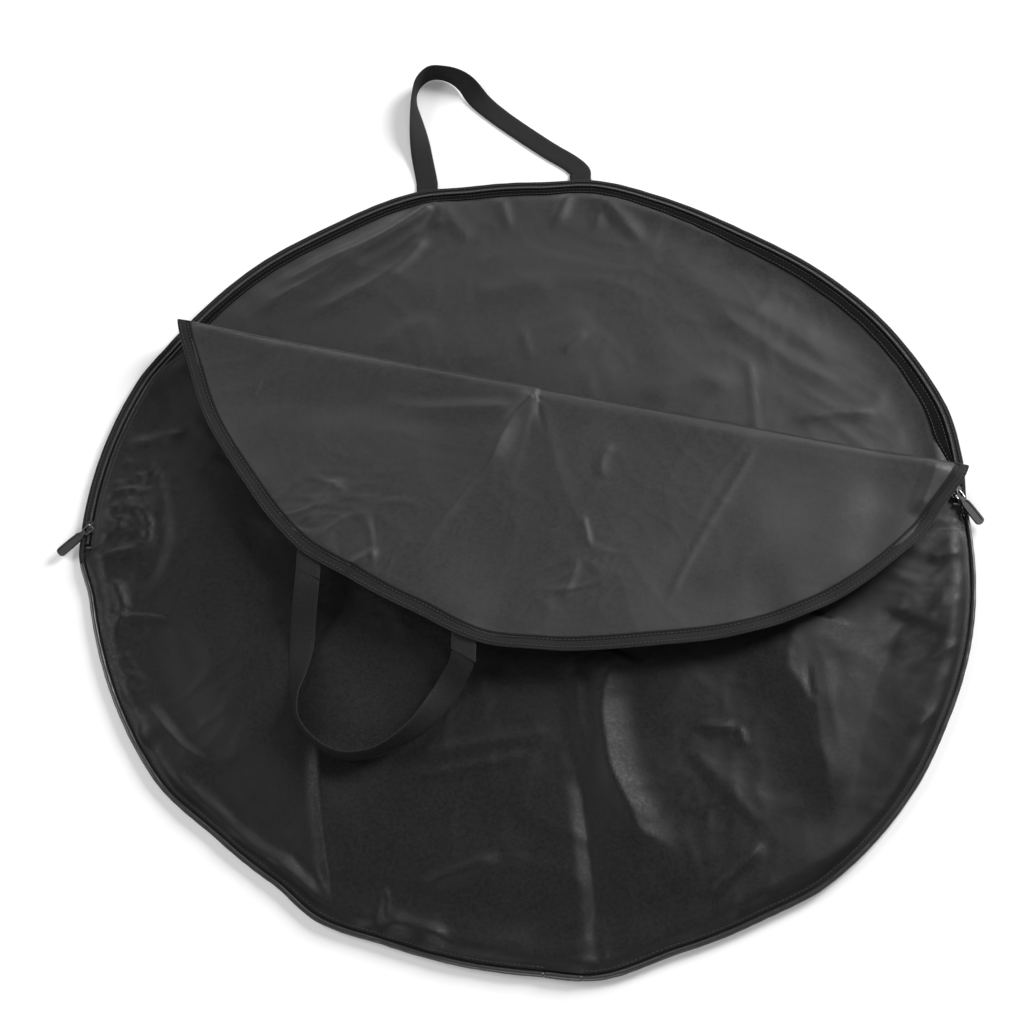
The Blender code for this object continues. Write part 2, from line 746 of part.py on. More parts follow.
def make_link(name, place):
    """Return the wire loop: one end in the slider's crown, the other in the grip's tunnel."""
    corner_shares = (0.0, 0.5, 1.0)
    corners = (
        (LINK_LENGTH, LINK_HALF_WIDTH, 0.0),
        (0.0, LINK_HALF_WIDTH, 90.0),
        (0.0, -LINK_HALF_WIDTH, 180.0),
        (LINK_LENGTH, -LINK_HALF_WIDTH, 270.0),
    )
    middle = Vector((LINK_LENGTH / 2.0, 0.0))
    points = []
    for x, y, start in corners:
        corner = Vector((x, y))
        inwards = Vector((math.copysign(LINK_CORNER, middle.x - x), math.copysign(LINK_CORNER, -y)))
        centre = corner + inwards
        for share in corner_shares:
            turn = math.radians(start + 90.0 * share)
            points.append(centre + LINK_CORNER * Vector((math.cos(turn), math.sin(turn))))
    curve = bpy.data.curves.new(name, "CURVE")
    curve.dimensions = "3D"
    curve.bevel_depth = WIRE_DIAMETER / 2.0
    curve.bevel_resolution = 2
    spline = curve.splines.new("POLY")
    spline.points.add(len(points) - 1)
    for target, point in zip(spline.points, points):
        target.co = (point.x, point.y, 0.0, 1.0)
    spline.use_cyclic_u = True
    link = bpy.data.objects.new(name, curve)
    PARTS.objects.link(link)
    link = as_mesh_object(link)
    link.data.transform(place)
    return link


def grip_outline(border):
    """Return the plan of the grip's blade: it widens from the neck to a rounded end."""
    start = LINK_LENGTH + GRIP_NECK_LENGTH * 0.6 + border
    end = LINK_LENGTH + GRIP_LENGTH - border
    half = GRIP_WIDTH / 2.0 - border
    upper = [(start, GRIP_NECK_WIDTH / 2.0 - border * 0.4), (start + GRIP_NECK_LENGTH, half * 0.88)]
    upper.append((start + (end - start) * 0.45, half))
    for share in (0.0, 0.25, 0.5, 0.75):
        turn = math.radians(90.0 * (1.0 - share))
        upper.append((end - half * 0.8 + half * 0.8 * math.cos(turn), half * math.sin(turn)))
    lower = [(x, -y) for x, y in reversed(upper)]
    return upper + [(end, 0.0)] + lower


def make_grip(name, place):
    """Return the moulded grip: recessed blade and a neck with a tunnel for the wire."""
    half = GRIP_THICKNESS / 2.0
    grip = flat_piece(name, grip_outline(0.0), -half, half)
    neck_size = (GRIP_NECK_LENGTH * 1.6, GRIP_NECK_WIDTH, GRIP_THICKNESS)
    neck_centre = Vector((LINK_LENGTH + GRIP_NECK_LENGTH * 0.3, 0.0, 0.0))
    neck = hide_tool(box_piece(name + "_neck", neck_size, neck_centre))
    cut(grip, neck, "UNION")
    shape = bmesh.new()
    radius = GRIP_TUNNEL_DIAMETER / 2.0
    bmesh.ops.create_cone(
        shape, cap_ends=True, segments=12, radius1=radius, radius2=radius, depth=GRIP_WIDTH * 2.0
    )
    mesh = bpy.data.meshes.new(name + "_tunnel")
    shape.to_mesh(mesh)
    shape.free()
    turn = Matrix.Rotation(math.pi / 2.0, 4, "X")
    mesh.transform(Matrix.Translation((LINK_LENGTH, 0.0, 0.0)) @ turn)
    cut(grip, hide_tool(object_from_mesh(name + "_tunnel", mesh, CUTTERS)))
    for side in (-1.0, 1.0):
        level = sorted((side * (half - GRIP_RECESS_DEPTH), side * GRIP_THICKNESS))
        recess = flat_piece(name + "_recess" + str(side), grip_outline(GRIP_BORDER), level[0], level[1])
        cut(grip, hide_tool(recess))
    grip = as_mesh_object(grip)
    grip.data.transform(place)
    return grip


def make_end_stop(name, angle, side):
    """Return the stop that holds the two zip tapes together where the zip ends."""
    place = rim_point(angle, CHAIN_INSET)
    ahead = rim_point(angle + 1.0, CHAIN_INSET) - rim_point(angle - 1.0, CHAIN_INSET)
    turn = math.atan2(ahead.y, ahead.x)
    height = END_STOP_TOP - SLIDER_LOW
    size = (END_STOP_LENGTH, END_STOP_WIDTH, height)
    centre = Vector((side * (END_STOP_LENGTH / 2.0 + GAP), 0.0, SLIDER_LOW + height / 2.0))
    stop = hide_tool(box_piece(name, size, centre))
    bevel = stop.modifiers.new("rounded", "BEVEL")
    bevel.width = GAP
    bevel.segments = 1
    stop = as_mesh_object(stop)
    stop.data.transform(Matrix.Translation(place) @ Matrix.Rotation(turn, 4, "Z"))
    return stop


def hang(part, hinge):
    """Parent a part to its hinge and keep its place."""
    part.parent = hinge
    part.matrix_parent_inverse = hinge.matrix_world.inverted()
    return part


def make_hinge(name, place, parent=None):
    """Return an empty on a joint's axis."""
    hinge = bpy.data.objects.new(name, None)
    hinge.empty_display_size = STRAP_WIDTH
    PARTS.objects.link(hinge)
    hinge.location = place
    bpy.context.view_layer.update()
    if parent is not None:
        hang(hinge, parent)
        bpy.context.view_layer.update()
    return hinge


def fold_down(part, hinge):
    """Turn a part from its closed place over the fold line and hang it on the fold."""
    part.data.transform(FOLD_OVER)
    return hang(part, hinge)


def build_shell():
    """Model the two panels, the edging round the rim and the back half of the zip."""
    back = turned_panel("back_panel", back_profile(), False)
    finish(back, "back_panel", "cloth_inside")
    front = cut(turned_panel("front_panel", front_profile(), True), ABOVE_FOLD)
    finish(as_mesh_object(front), "front_panel", "cloth_outside", 0.5)
    joint_turn = math.degrees(PIPING_JOINT_LENGTH / RIM_RADIUS) / 2.0
    gap_turn = math.degrees(GAP / RIM_RADIUS)
    joint_start = PIPING_JOINT_ANGLE - joint_turn
    joint_stop = PIPING_JOINT_ANGLE + joint_turn
    right_end = EDGING_RIGHT_ANGLE + 360.0
    binding_span = (EDGING_RIGHT_ANGLE + gap_turn, EDGING_LEFT_ANGLE - gap_turn)
    binding = rim_tube("rim_binding", *binding_span, BINDING_DIAMETER, BINDING_DIAMETER / 2.0)
    finish(binding, "rim_binding", "zip_tape")
    piping_inset = PIPING_DIAMETER / 2.0
    runs = (("left", EDGING_LEFT_ANGLE, joint_start), ("right", joint_stop, right_end))
    for side, start, stop in runs:
        name = "rim_piping_" + side
        piping = rim_tube(name, start + gap_turn, stop - gap_turn, PIPING_DIAMETER, piping_inset)
        finish(piping, name, "piping", 0.3)
    joint_span = (joint_start + gap_turn, joint_stop - gap_turn)
    joint = rim_tube("piping_joint", *joint_span, PIPING_JOINT_DIAMETER, piping_inset)
    finish(joint, "piping_joint", "piping", 0.35)
    tape_levels = (TAPE_LOW, TAPE_TOP)
    coil_levels = (COIL_LOW, COIL_TOP)
    zip_span = (ZIP_RIGHT_ANGLE, ZIP_LEFT_ANGLE)
    tape = rim_strip("back_zip_tape", *zip_span, (BACK_TAPE_OUTER, BACK_TAPE_INNER), tape_levels)
    finish(tape, "back_zip_tape", "zip_tape")
    coil_insets = (BACK_TAPE_INNER - COIL_WIDTH, BACK_TAPE_INNER)
    coil = rim_strip("back_zip_coil", *zip_span, coil_insets, coil_levels)
    finish(coil, "back_zip_coil", "nylon", 0.4)
    front_tape_insets = (FRONT_TAPE_OUTER, FRONT_TAPE_INNER)
    front_coil_insets = (FRONT_TAPE_OUTER, FRONT_TAPE_OUTER + COIL_WIDTH)
    left_span = (FOLD_LEFT_ANGLE - EDGE_BLEND_ANGLE * 5.0, ZIP_LEFT_ANGLE)
    side_tape = cut(rim_strip("left_side_tape", *left_span, front_tape_insets, tape_levels), ABOVE_FOLD)
    finish(as_mesh_object(side_tape), "left_side_tape", "zip_tape")
    side_coil = cut(rim_strip("left_side_coil", *left_span, front_coil_insets, coil_levels), ABOVE_FOLD)
    finish(as_mesh_object(side_coil), "left_side_coil", "nylon", 0.4)
    finish(make_end_stop("left_end_stop", ZIP_LEFT_ANGLE, 1.0), "left_end_stop", "nylon", 0.4)
    finish(make_end_stop("right_end_stop", ZIP_RIGHT_ANGLE, -1.0), "right_end_stop", "nylon", 0.4)


def build_flap():
    """Model the flap closed, with its half of the zip, and fold it down."""
    hinge = make_hinge("flap_hinge", FOLD_POINT)
    flap = cut(turned_panel("front_flap", front_profile(), True), BELOW_FOLD)
    fold_down(finish(as_mesh_object(flap), "front_flap", "cloth_inside"), hinge)
    span = (0.0, FOLD_LEFT_ANGLE + EDGE_BLEND_ANGLE * 5.0)
    tape_insets = (FRONT_TAPE_OUTER, FRONT_TAPE_INNER)
    coil_insets = (FRONT_TAPE_OUTER, FRONT_TAPE_OUTER + COIL_WIDTH)
    tape = cut(rim_strip("flap_zip_tape", *span, tape_insets, (TAPE_LOW, TAPE_TOP)), BELOW_FOLD)
    fold_down(finish(as_mesh_object(tape), "flap_zip_tape", "zip_tape"), hinge)
    coil = cut(rim_strip("flap_zip_coil", *span, coil_insets, (COIL_LOW, COIL_TOP)), BELOW_FOLD)
    fold_down(finish(as_mesh_object(coil), "flap_zip_coil", "nylon", 0.4), hinge)
    cloth_left = along_at_inset(ZIP_CLOTH_INSET + GAP, True)
    cloth_right = along_at_inset(ZIP_CLOTH_INSET + GAP, False)
    roll = fold_strip("fold_roll", cloth_left, cloth_right, CLOTH, front_height)
    hang(finish(roll, "fold_roll", "cloth_inside"), hinge)
    for side, from_left in (("left", True), ("right", False)):
        name = side + "_fold_tape"
        ends = sorted((along_at_inset(FRONT_TAPE_OUTER, from_left), along_at_inset(FRONT_TAPE_INNER, from_left)))
        tape_roll = fold_strip(name, ends[0], ends[1], TAPE_THICKNESS, tape_height)
        hang(finish(tape_roll, name, "zip_tape"), hinge)
    return hinge


def build_handles(flap_hinge):
    """Model both webbing handles: two sewn ends and a loop each."""
    back_hinge = make_hinge("back_handle_hinge", leg_place(LEG_LEFT, 0.0, 0.0, STRAP_THICKNESS))
    for side, leg in zip(("left", "right"), LEGS):
        name = "back_handle_" + side + "_end"
        finish(sewn_end(name, leg, 0.0), name, "webbing")
        name = "front_handle_" + side + "_end"
        fold_down(finish(sewn_end(name, leg, FRONT_STRAP_LOW), name, "webbing"), flap_hinge)
    back_loop = strap_loop("back_handle_loop", back_loop_stations())
    hang(finish(back_loop, "back_handle_loop", "webbing"), back_hinge)
    front_place = FOLD_OVER @ leg_place(LEG_LEFT, 0.0, 0.0, FRONT_STRAP_LOW)
    front_hinge = make_hinge("front_handle_hinge", front_place, flap_hinge)
    front_loop = strap_loop("front_handle_loop", front_loop_stations())
    hang(finish(front_loop, "front_handle_loop", "webbing"), front_hinge)


def build_sliders():
    """Model the two sliders and their pulls."""
    rim_centre = make_hinge("left_slider_travel", Vector((0.0, 0.0, SLIDER_LOW)))
    places = (
        ("left", LEFT_SLIDER_ANGLE, LEFT_PULL_HEADING, LEFT_PULL_DIP),
        ("right", RIGHT_SLIDER_ANGLE, RIGHT_PULL_HEADING, RIGHT_PULL_DIP),
    )
    for side, angle, heading, dip in places:
        carrier = rim_centre if side == "left" else None
        slider = finish(make_slider(side + "_slider", angle), side + "_slider", "slider_metal", 0.35, 0.9)
        if carrier is not None:
            hang(slider, carrier)
        pivot = make_hinge(side + "_pull_hinge", rim_point(angle, CHAIN_INSET, PULL_PIVOT_HEIGHT), carrier)
        place = pull_matrix(angle, heading, dip)
        link = finish(make_link(side + "_pull_link", place), side + "_pull_link", "link_wire", 0.25, 1.0)
        hang(link, pivot)
        grip = finish(make_grip(side + "_pull_grip", place), side + "_pull_grip", "grip", 0.45)
        hang(grip, pivot)


def shade_round_parts():
    """Shade the parts smooth with creases at their sharp edges."""
    for part in PARTS.objects:
        if part.type == "MESH":
            part.data.shade_smooth()
            part.data.set_sharp_from_angle(angle=math.radians(35.0))


ABOVE_FOLD = fold_cutter("above_fold", 1.0)
BELOW_FOLD = fold_cutter("below_fold", -1.0)
build_shell()
FLAP_HINGE = build_flap()
build_handles(FLAP_HINGE)
build_sliders()
shade_round_parts()
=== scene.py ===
import logging
import math
from collections.abc import Callable, Mapping, Sequence
from dataclasses import dataclass, field
from enum import Enum
from functools import cached_property
from typing import ClassVar

import bmesh
import bpy
import numpy as np
from mathutils import Matrix, Vector


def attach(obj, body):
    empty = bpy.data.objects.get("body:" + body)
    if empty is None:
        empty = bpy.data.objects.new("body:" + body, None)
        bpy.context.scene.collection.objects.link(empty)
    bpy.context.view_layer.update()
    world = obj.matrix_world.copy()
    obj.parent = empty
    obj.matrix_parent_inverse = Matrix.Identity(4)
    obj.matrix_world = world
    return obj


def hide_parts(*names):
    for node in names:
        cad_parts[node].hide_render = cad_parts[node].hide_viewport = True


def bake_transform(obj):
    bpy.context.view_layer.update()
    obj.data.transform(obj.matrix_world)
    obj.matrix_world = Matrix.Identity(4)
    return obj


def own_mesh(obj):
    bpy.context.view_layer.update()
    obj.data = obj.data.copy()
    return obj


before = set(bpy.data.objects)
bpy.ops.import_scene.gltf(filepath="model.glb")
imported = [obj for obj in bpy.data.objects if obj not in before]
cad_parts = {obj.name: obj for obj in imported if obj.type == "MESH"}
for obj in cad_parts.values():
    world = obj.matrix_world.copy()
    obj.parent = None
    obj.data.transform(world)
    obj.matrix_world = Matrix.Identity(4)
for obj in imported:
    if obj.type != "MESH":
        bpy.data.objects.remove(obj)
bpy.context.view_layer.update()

LOG = logging.getLogger("wheel_bag")
Array = np.ndarray
Span = tuple[float, float]
UP = np.array((0.0, 0.0, 1.0))
TINY = 1e-12
FAR = 1e9
SHORTEST_FADE = 1e-3
SHARP_EDGE = 60.0
SEAM_INSET = 0.012


class Body(Enum):
    """The moving bodies that pieces ride on."""

    BAG = "bag"
    FLAP = "flap"
    BACK_HANDLE = "back_handle"
    FRONT_HANDLE = "front_handle"


def ease(share: Array | float) -> Array:
    """Return a share held between 0 and 1, with level ends."""
    held = np.clip(share, 0.0, 1.0)
    return held * held * (3.0 - 2.0 * held)


def past(value: Array | float, start: Array | float, width: float) -> Array:
    """Return 0 up to a start, eased to 1 over the width after it."""
    return ease((value - start) / width)


def until(value: Array | float, end: Array | float, width: float) -> Array:
    """Return 1, eased to 0 over the width before an end."""
    return ease((end - value) / width)


def within(value: Array, start: Span, end: Span) -> Array:
    """Return 1 between a start and an end, each given with the width that it is eased over."""
    return past(value, *start) * until(value, *end)


def bell(value: Array, middle: float, spread: float) -> Array:
    """Return a soft bump that is 1 at its middle."""
    return np.exp(-np.square((value - middle) / spread))


def smooth_run(points: Sequence[Sequence[float]], steps: int) -> Array:
    """Draw a smooth run through stations.

    Args:
        points: The stations, each with the same count of values.
        steps: How many steps lie between two stations.

    Returns:
        The run's values, one row for each step.
    """
    stations = np.asarray(points, float)
    padded = np.vstack([2 * stations[0] - stations[1], stations, 2 * stations[-1] - stations[-2]])
    share = (np.arange(steps) / steps)[:, None]
    runs = []
    for index in range(len(stations) - 1):
        p0, p1, p2, p3 = padded[index:index + 4]
        bend = (2 * p0 - 5 * p1 + 4 * p2 - p3) * share ** 2
        twist = (3 * p1 - p0 - 3 * p2 + p3) * share ** 3
        runs.append((2 * p1 + (p2 - p0) * share + bend + twist) / 2)
    runs.append(stations[-1:])
    return np.vstack(runs)


def unit(rows: Array) -> Array:
    """Return the same directions, each row of length one."""
    return rows / np.maximum(np.linalg.norm(rows, axis=-1, keepdims=True), TINY)


def travelled(path: Array) -> Array:
    """Return how far along a path each of its points lies."""
    return np.concatenate([[0.0], np.cumsum(np.linalg.norm(np.diff(path, axis=0), axis=1))])


def from_bottom(angle: Array) -> Array:
    """Return directions in degrees, counted from -90 to 270."""
    turned = np.mod(angle, 360.0)
    return np.where(turned > 270.0, turned - 360.0, turned)


@dataclass(frozen=True)
class PhotoCamera:
    """The photograph's camera, fitted to the bag's rim and fold line."""

    elevation: float = 62.305
    distance: float = 1.4
    focal_pixels: float = 1680.6
    middle: tuple[float, float] = (536.7, 534.2)
    frame_pixels: int = 1024
    sensor: float = 36.0

    @property
    def eye(self) -> Array:
        """Return the camera's place."""
        tilt = math.radians(self.elevation)
        return np.array((0.0, -math.cos(tilt), math.sin(tilt))) * self.distance

    def on_level(self, pixels: Sequence[tuple[float, float]], height: float) -> Array:
        """Find the points at one height that the camera sees at some pixels.

        Args:
            pixels: Columns and rows in the photograph.
            height: The height of the points.

        Returns:
            The points' X and Y.
        """
        tilt = math.radians(self.elevation)
        ahead = np.array((0.0, math.cos(tilt), -math.sin(tilt)))
        upwards = np.array((0.0, math.sin(tilt), math.cos(tilt)))
        offsets = (np.asarray(pixels, float) - self.middle) / self.focal_pixels
        rays = ahead + offsets[:, :1] * np.array((1.0, 0.0, 0.0)) - offsets[:, 1:] * upwards
        reach = (height - self.eye[2]) / rays[:, 2:]
        return (self.eye + reach * rays)[:, :2]

    def place(self) -> None:
        """Add the camera to the scene."""
        lens = bpy.data.cameras.new("photo_camera")
        lens.sensor_width = self.sensor
        lens.lens = self.focal_pixels * self.sensor / self.frame_pixels
        lens.shift_x = (self.frame_pixels / 2 - self.middle[0]) / self.frame_pixels
        lens.shift_y = (self.middle[1] - self.frame_pixels / 2) / self.frame_pixels
        camera = bpy.data.objects.new("photo_camera", lens)
        bpy.context.collection.objects.link(camera)
        camera.location = self.eye
        camera.rotation_euler = (math.radians(90.0 - self.elevation), 0.0, 0.0)
        bpy.context.scene.camera = camera


PHOTO = PhotoCamera()


class Wire:
    """A value in a material's node tree, which takes part in arithmetic."""

    def __init__(self, shade: "Shade", socket: bpy.types.NodeSocket) -> None:
        """Keep the tree and the socket."""
        self.shade = shade
        self.socket = socket

    def _math(self, operation: str, first: object, second: object) -> "Wire":
        """Return the result of one Math node."""
        return self.shade.node("ShaderNodeMath", {"operation": operation}, {0: first, 1: second})

    def __add__(self, other: object) -> "Wire":
        """Return the sum."""
        return self._math("ADD", self, other)

    __radd__ = __add__

    def __sub__(self, other: object) -> "Wire":
        """Return the difference."""
        return self._math("SUBTRACT", self, other)

    def __rsub__(self, other: object) -> "Wire":
        """Return the difference from another value."""
        return self._math("SUBTRACT", other, self)

    def __mul__(self, other: object) -> "Wire":
        """Return the product."""
        return self._math("MULTIPLY", self, other)

    __rmul__ = __mul__

    def __truediv__(self, other: object) -> "Wire":
        """Return the quotient."""
        return self._math("DIVIDE", self, other)

    def sine(self) -> "Wire":
        """Return the sine."""
        return self._math("SINE", self, 0.0)

    def size(self) -> "Wire":
        """Return the value without its sign."""
        return self._math("ABSOLUTE", self, 0.0)


class Shade:
    """A material whose nodes are written as expressions."""

    def __init__(self, name: str) -> None:
        """Start the material with its Principled shader."""
        self.material = bpy.data.materials.new(name)
        self.material.use_nodes = True
        self.tree = self.material.node_tree
        self.shader = self.tree.nodes["Principled BSDF"]

    def node(self, kind: str, settings: Mapping[str, object], inputs: Mapping[str | int, object],
             output: str | int = 0) -> Wire:
        """Add a node.

        Args:
            kind: The node's type.
            settings: Its properties, set before the sockets.
            inputs: Values or links, by socket.
            output: The output to return.

        Returns:
            The output as a value.
        """
        node = self.tree.nodes.new(kind)
        for key, value in settings.items():
            setattr(node, key, value)
        for key, value in inputs.items():
            self.feed(node.inputs[key], value)
        return Wire(self, node.outputs[output])

    def feed(self, socket: bpy.types.NodeSocket, value: object) -> None:
        """Give a socket its value or its link."""
        if isinstance(value, Wire):
            self.tree.links.new(value.socket, socket)
        else:
            socket.default_value = value

    def place(self) -> Wire:
        """Return the point in the object's own coordinates."""
        return self.node("ShaderNodeTexCoord", {}, {}, "Object")

    def along(self) -> Wire:
        """Return the point on the piece's own map, in metres along and across it."""
        return self.node("ShaderNodeUVMap", {"uv_map": "run"}, {}, "UV")

    def axis(self, vector: Wire, name: str) -> Wire:
        """Return one part of a vector."""
        return self.node("ShaderNodeSeparateXYZ", {}, {0: vector}, name)

    def waves(self, vector: Wire, name: str, pitch: float) -> Wire:
        """Return waves from -1 to 1 along one part of a vector."""
        return (self.axis(vector, name) * (math.tau / pitch)).sine()

    def noise(self, vector: Wire, per_metre: float, detail: float, rough: float = 0.5) -> Wire:
        """Return soft noise.

        Args:
            vector: Where it is read.
            per_metre: How many blotches lie on a metre.
            detail: How many finer layers it has.
            rough: How strong the finer layers are.

        Returns:
            The noise, about 0 to 1.
        """
        values = {"Vector": vector, "Scale": per_metre, "Detail": detail, "Roughness": rough}
        return self.node("ShaderNodeTexNoise", {}, values, "Fac")

    def between(self, share: Wire, low: float, high: float) -> Wire:
        """Return a share spread from one level to another, and held there."""
        values = {"Value": share, "From Min": low, "From Max": high}
        return self.node("ShaderNodeMapRange", {"interpolation_type": "SMOOTHSTEP"}, values)

    def mix(self, share: Wire | float, first: object, second: object) -> Wire:
        """Return a colour between two colours."""
        return self.node("ShaderNodeMix", {"data_type": "RGBA"}, {0: share, 6: first, 7: second}, 2)

    def bump(self, height: Wire, depth: float, below: Wire | None = None) -> Wire:
        """Return a normal bent by a height.

        Args:
            height: The height, from 0 to 1.
            depth: The depth in metres that 1 stands for.
            below: The normal that this one is laid over.

        Returns:
            The bent normal.
        """
        values = {"Height": height, "Strength": 1.0, "Distance": depth}
        if below is not None:
            values["Normal"] = below
        return self.node("ShaderNodeBump", {}, values)

    def finish(self, **values: object) -> bpy.types.Material:
        """Feed the shader, by socket names written with underscores, and return the material."""
        for key, value in values.items():
            self.feed(self.shader.inputs[key.replace("_", " ")], value)
        return self.material


def grey(level: float, blue: float = 0.0) -> tuple[float, float, float, float]:
    """Return a grey, a little cooler where blue is above zero."""
    return (level, level * (1.0 + blue * 0.5), level * (1.0 + blue), 1.0)


@dataclass(frozen=True)
class ClothFinish:
    """Woven polyester: plain weave, slow colour changes and soft handling marks."""

    name: str
    level: float
    specular: float
    roughness: float = 0.52
    crumple: float = 0.0004
    weave: float = 0.00009
    blue: float = 0.02
    thread_pitch: float = 0.0011
    grains: float = 340.0
    blotches: float = 6.0
    marks: float = 34.0

    def material(self) -> bpy.types.Material:
        """Make the material."""
        shade = Shade(self.name)
        place = shade.place()
        threads = shade.waves(place, "X", self.thread_pitch) * shade.waves(place, "Y", self.thread_pitch) * 0.5 + 0.5
        grain = shade.between(shade.noise(place, self.grains, 4.0, 0.75), 0.32, 0.68)
        blotch = shade.noise(place, self.blotches, 3.0)
        handled = shade.noise(place, self.marks, 3.0)
        rubbed = shade.between(handled, 0.52, 0.78)
        dull, clear, pale = (grey(self.level * share, self.blue) for share in (0.90, 1.10, 1.45))
        tone = shade.mix(shade.between(blotch, 0.3, 0.7), dull, clear)
        tone = shade.mix(grain * 0.45 + rubbed * 0.10, tone, pale)
        worn = self.roughness - 0.05 + blotch * 0.06 + (grain - 0.5) * 0.16 - rubbed * 0.03
        soft = shade.bump(handled, self.crumple)
        cloth = shade.bump(threads * 0.7 + grain * 0.3, self.weave, soft)
        return shade.finish(Base_Color=tone, Roughness=worn, Specular_IOR_Level=self.specular, Normal=cloth)


@dataclass(frozen=True)
class StrapFinish:
    """Woven strap or tape: ribs across it and lines along it, read from the piece's map.

    The groove's two edges are shares of the width, and past 1 there is no groove. Along it the tone is darkened as
    painted shade of the gap beside the hem.
    """

    name: str
    level: float
    roughness: float
    rib_pitch: float
    line_pitch: float
    depth: float
    width: float
    groove: Span = (2.0, 3.0)
    specular: float = 0.20
    grains: float = 420.0
    blotches: float = 30.0

    def material(self) -> bpy.types.Material:
        """Make the material."""
        shade = Shade(self.name)
        run = shade.along()
        place = shade.place()
        ribs = shade.waves(run, "X", self.rib_pitch) * 0.5 + 0.5
        lines = shade.waves(run, "Y", self.line_pitch) * 0.5 + 0.5
        grain = shade.between(shade.noise(place, self.grains, 4.0, 0.75), 0.3, 0.7)
        blotch = shade.noise(place, self.blotches, 3.0)
        across = shade.axis(run, "Y") / self.width
        fuzz = shade.between((across * 2.0 - 1.0).size(), 0.86, 1.0)
        start, stop = self.groove
        from_groove = (across - (start + stop) / 2.0).size() / ((stop - start) / 2.0)
        painted_groove_shade = 1.0 - shade.between(from_groove, 0.7, 1.15)
        woven = ribs * 0.45 + lines * 0.20 + grain * 0.45
        tone = shade.mix(woven, grey(self.level * 0.45), grey(self.level * 1.7))
        tone = shade.mix(fuzz * 0.2 + blotch * 0.15, tone, grey(self.level * 1.9))
        # Painted shade: the tone is darkened along the groove, standing in for the shadow in the gap beside the hem.
        tone = shade.mix(painted_groove_shade * 0.85, tone, grey(self.level * 0.22))
        worn = self.roughness + grain * 0.06
        cloth = shade.bump(woven, self.depth)
        return shade.finish(Base_Color=tone, Roughness=worn, Specular_IOR_Level=self.specular, Normal=cloth)


@dataclass(frozen=True)
class MouldedFinish:
    """Moulded plastic or lacquered metal: a fine grain and rubbed patches."""

    name: str
    level: float
    roughness: float
    metallic: float = 0.0
    coat: float = 0.0
    coat_roughness: float = 0.25
    grain_depth: float = 0.00004
    grains: float = 2600.0
    patches: float = 220.0
    blue: float = 0.0

    def material(self) -> bpy.types.Material:
        """Make the material."""
        shade = Shade(self.name)
        place = shade.place()
        grain = shade.noise(place, self.grains, 2.0)
        patches = shade.noise(place, self.patches, 3.0, 0.6)
        rubbed = shade.between(patches, 0.5, 0.75)
        tone = shade.mix(rubbed, grey(self.level, self.blue), grey(self.level * 1.5, self.blue))
        worn = self.roughness + patches * 0.12 - rubbed * 0.05
        skin = shade.bump(grain * 0.5 + patches * 0.5, self.grain_depth)
        return shade.finish(Base_Color=tone, Roughness=worn, Metallic=self.metallic, Coat_Weight=self.coat,
                            Coat_Roughness=self.coat_roughness, Normal=skin)


class Finish(Enum):
    """Every finish on the bag, with the record's slot that it belongs to."""

    INSIDE = ("cloth_inside", ClothFinish("coated_cloth_inside", 0.0220, 0.31))
    OUTSIDE = ("cloth_outside", ClothFinish("satin_cloth_outside", 0.0062, 0.27))
    WEBBING = ("webbing", StrapFinish("strap_webbing", 0.0098, 0.72, 0.0016, 0.0021, 0.00022, 0.020))
    TAPE = ("zip_tape", StrapFinish("woven_tape", 0.0105, 0.72, 0.0011, 0.0013, 0.00014, 0.0118, (0.60, 0.94)))
    BINDING = ("zip_tape", StrapFinish("edge_binding", 0.0085, 0.72, 0.0012, 0.0015, 0.00014, 0.0118))
    FACING = ("zip_tape", StrapFinish("seam_facing", 0.0062, 0.9, 0.0022, 0.0026, 0.0003, 0.0118, specular=0.02))
    THREAD = ("webbing", MouldedFinish("sewing_thread", 0.024, 0.62, grain_depth=0.00003))
    COIL = ("zip_coil", MouldedFinish("nylon_coil", 0.040, 0.34, coat=0.25))
    PIPING = ("piping", MouldedFinish("glossy_piping", 0.021, 0.32, coat=0.22, grain_depth=0.00005, grains=700.0))
    LACQUER = ("slider_metal", MouldedFinish("black_lacquer", 0.07, 0.32, metallic=0.85, coat=0.35))
    BRIGHT_WIRE = ("link_wire", MouldedFinish("bright_wire", 0.62, 0.22, 1.0, grain_depth=0.00001, blue=0.02))
    GRIP = ("grip", MouldedFinish("moulded_grip", 0.021, 0.46, coat=0.1, grain_depth=0.00006))

    @property
    def slot(self) -> str:
        """Return the record's slot."""
        return self.value[0]

    @property
    def material(self) -> bpy.types.Material:
        """Return the material, made when it is first asked for."""
        recipe = self.value[1]
        return bpy.data.materials.get(recipe.name) or recipe.material()


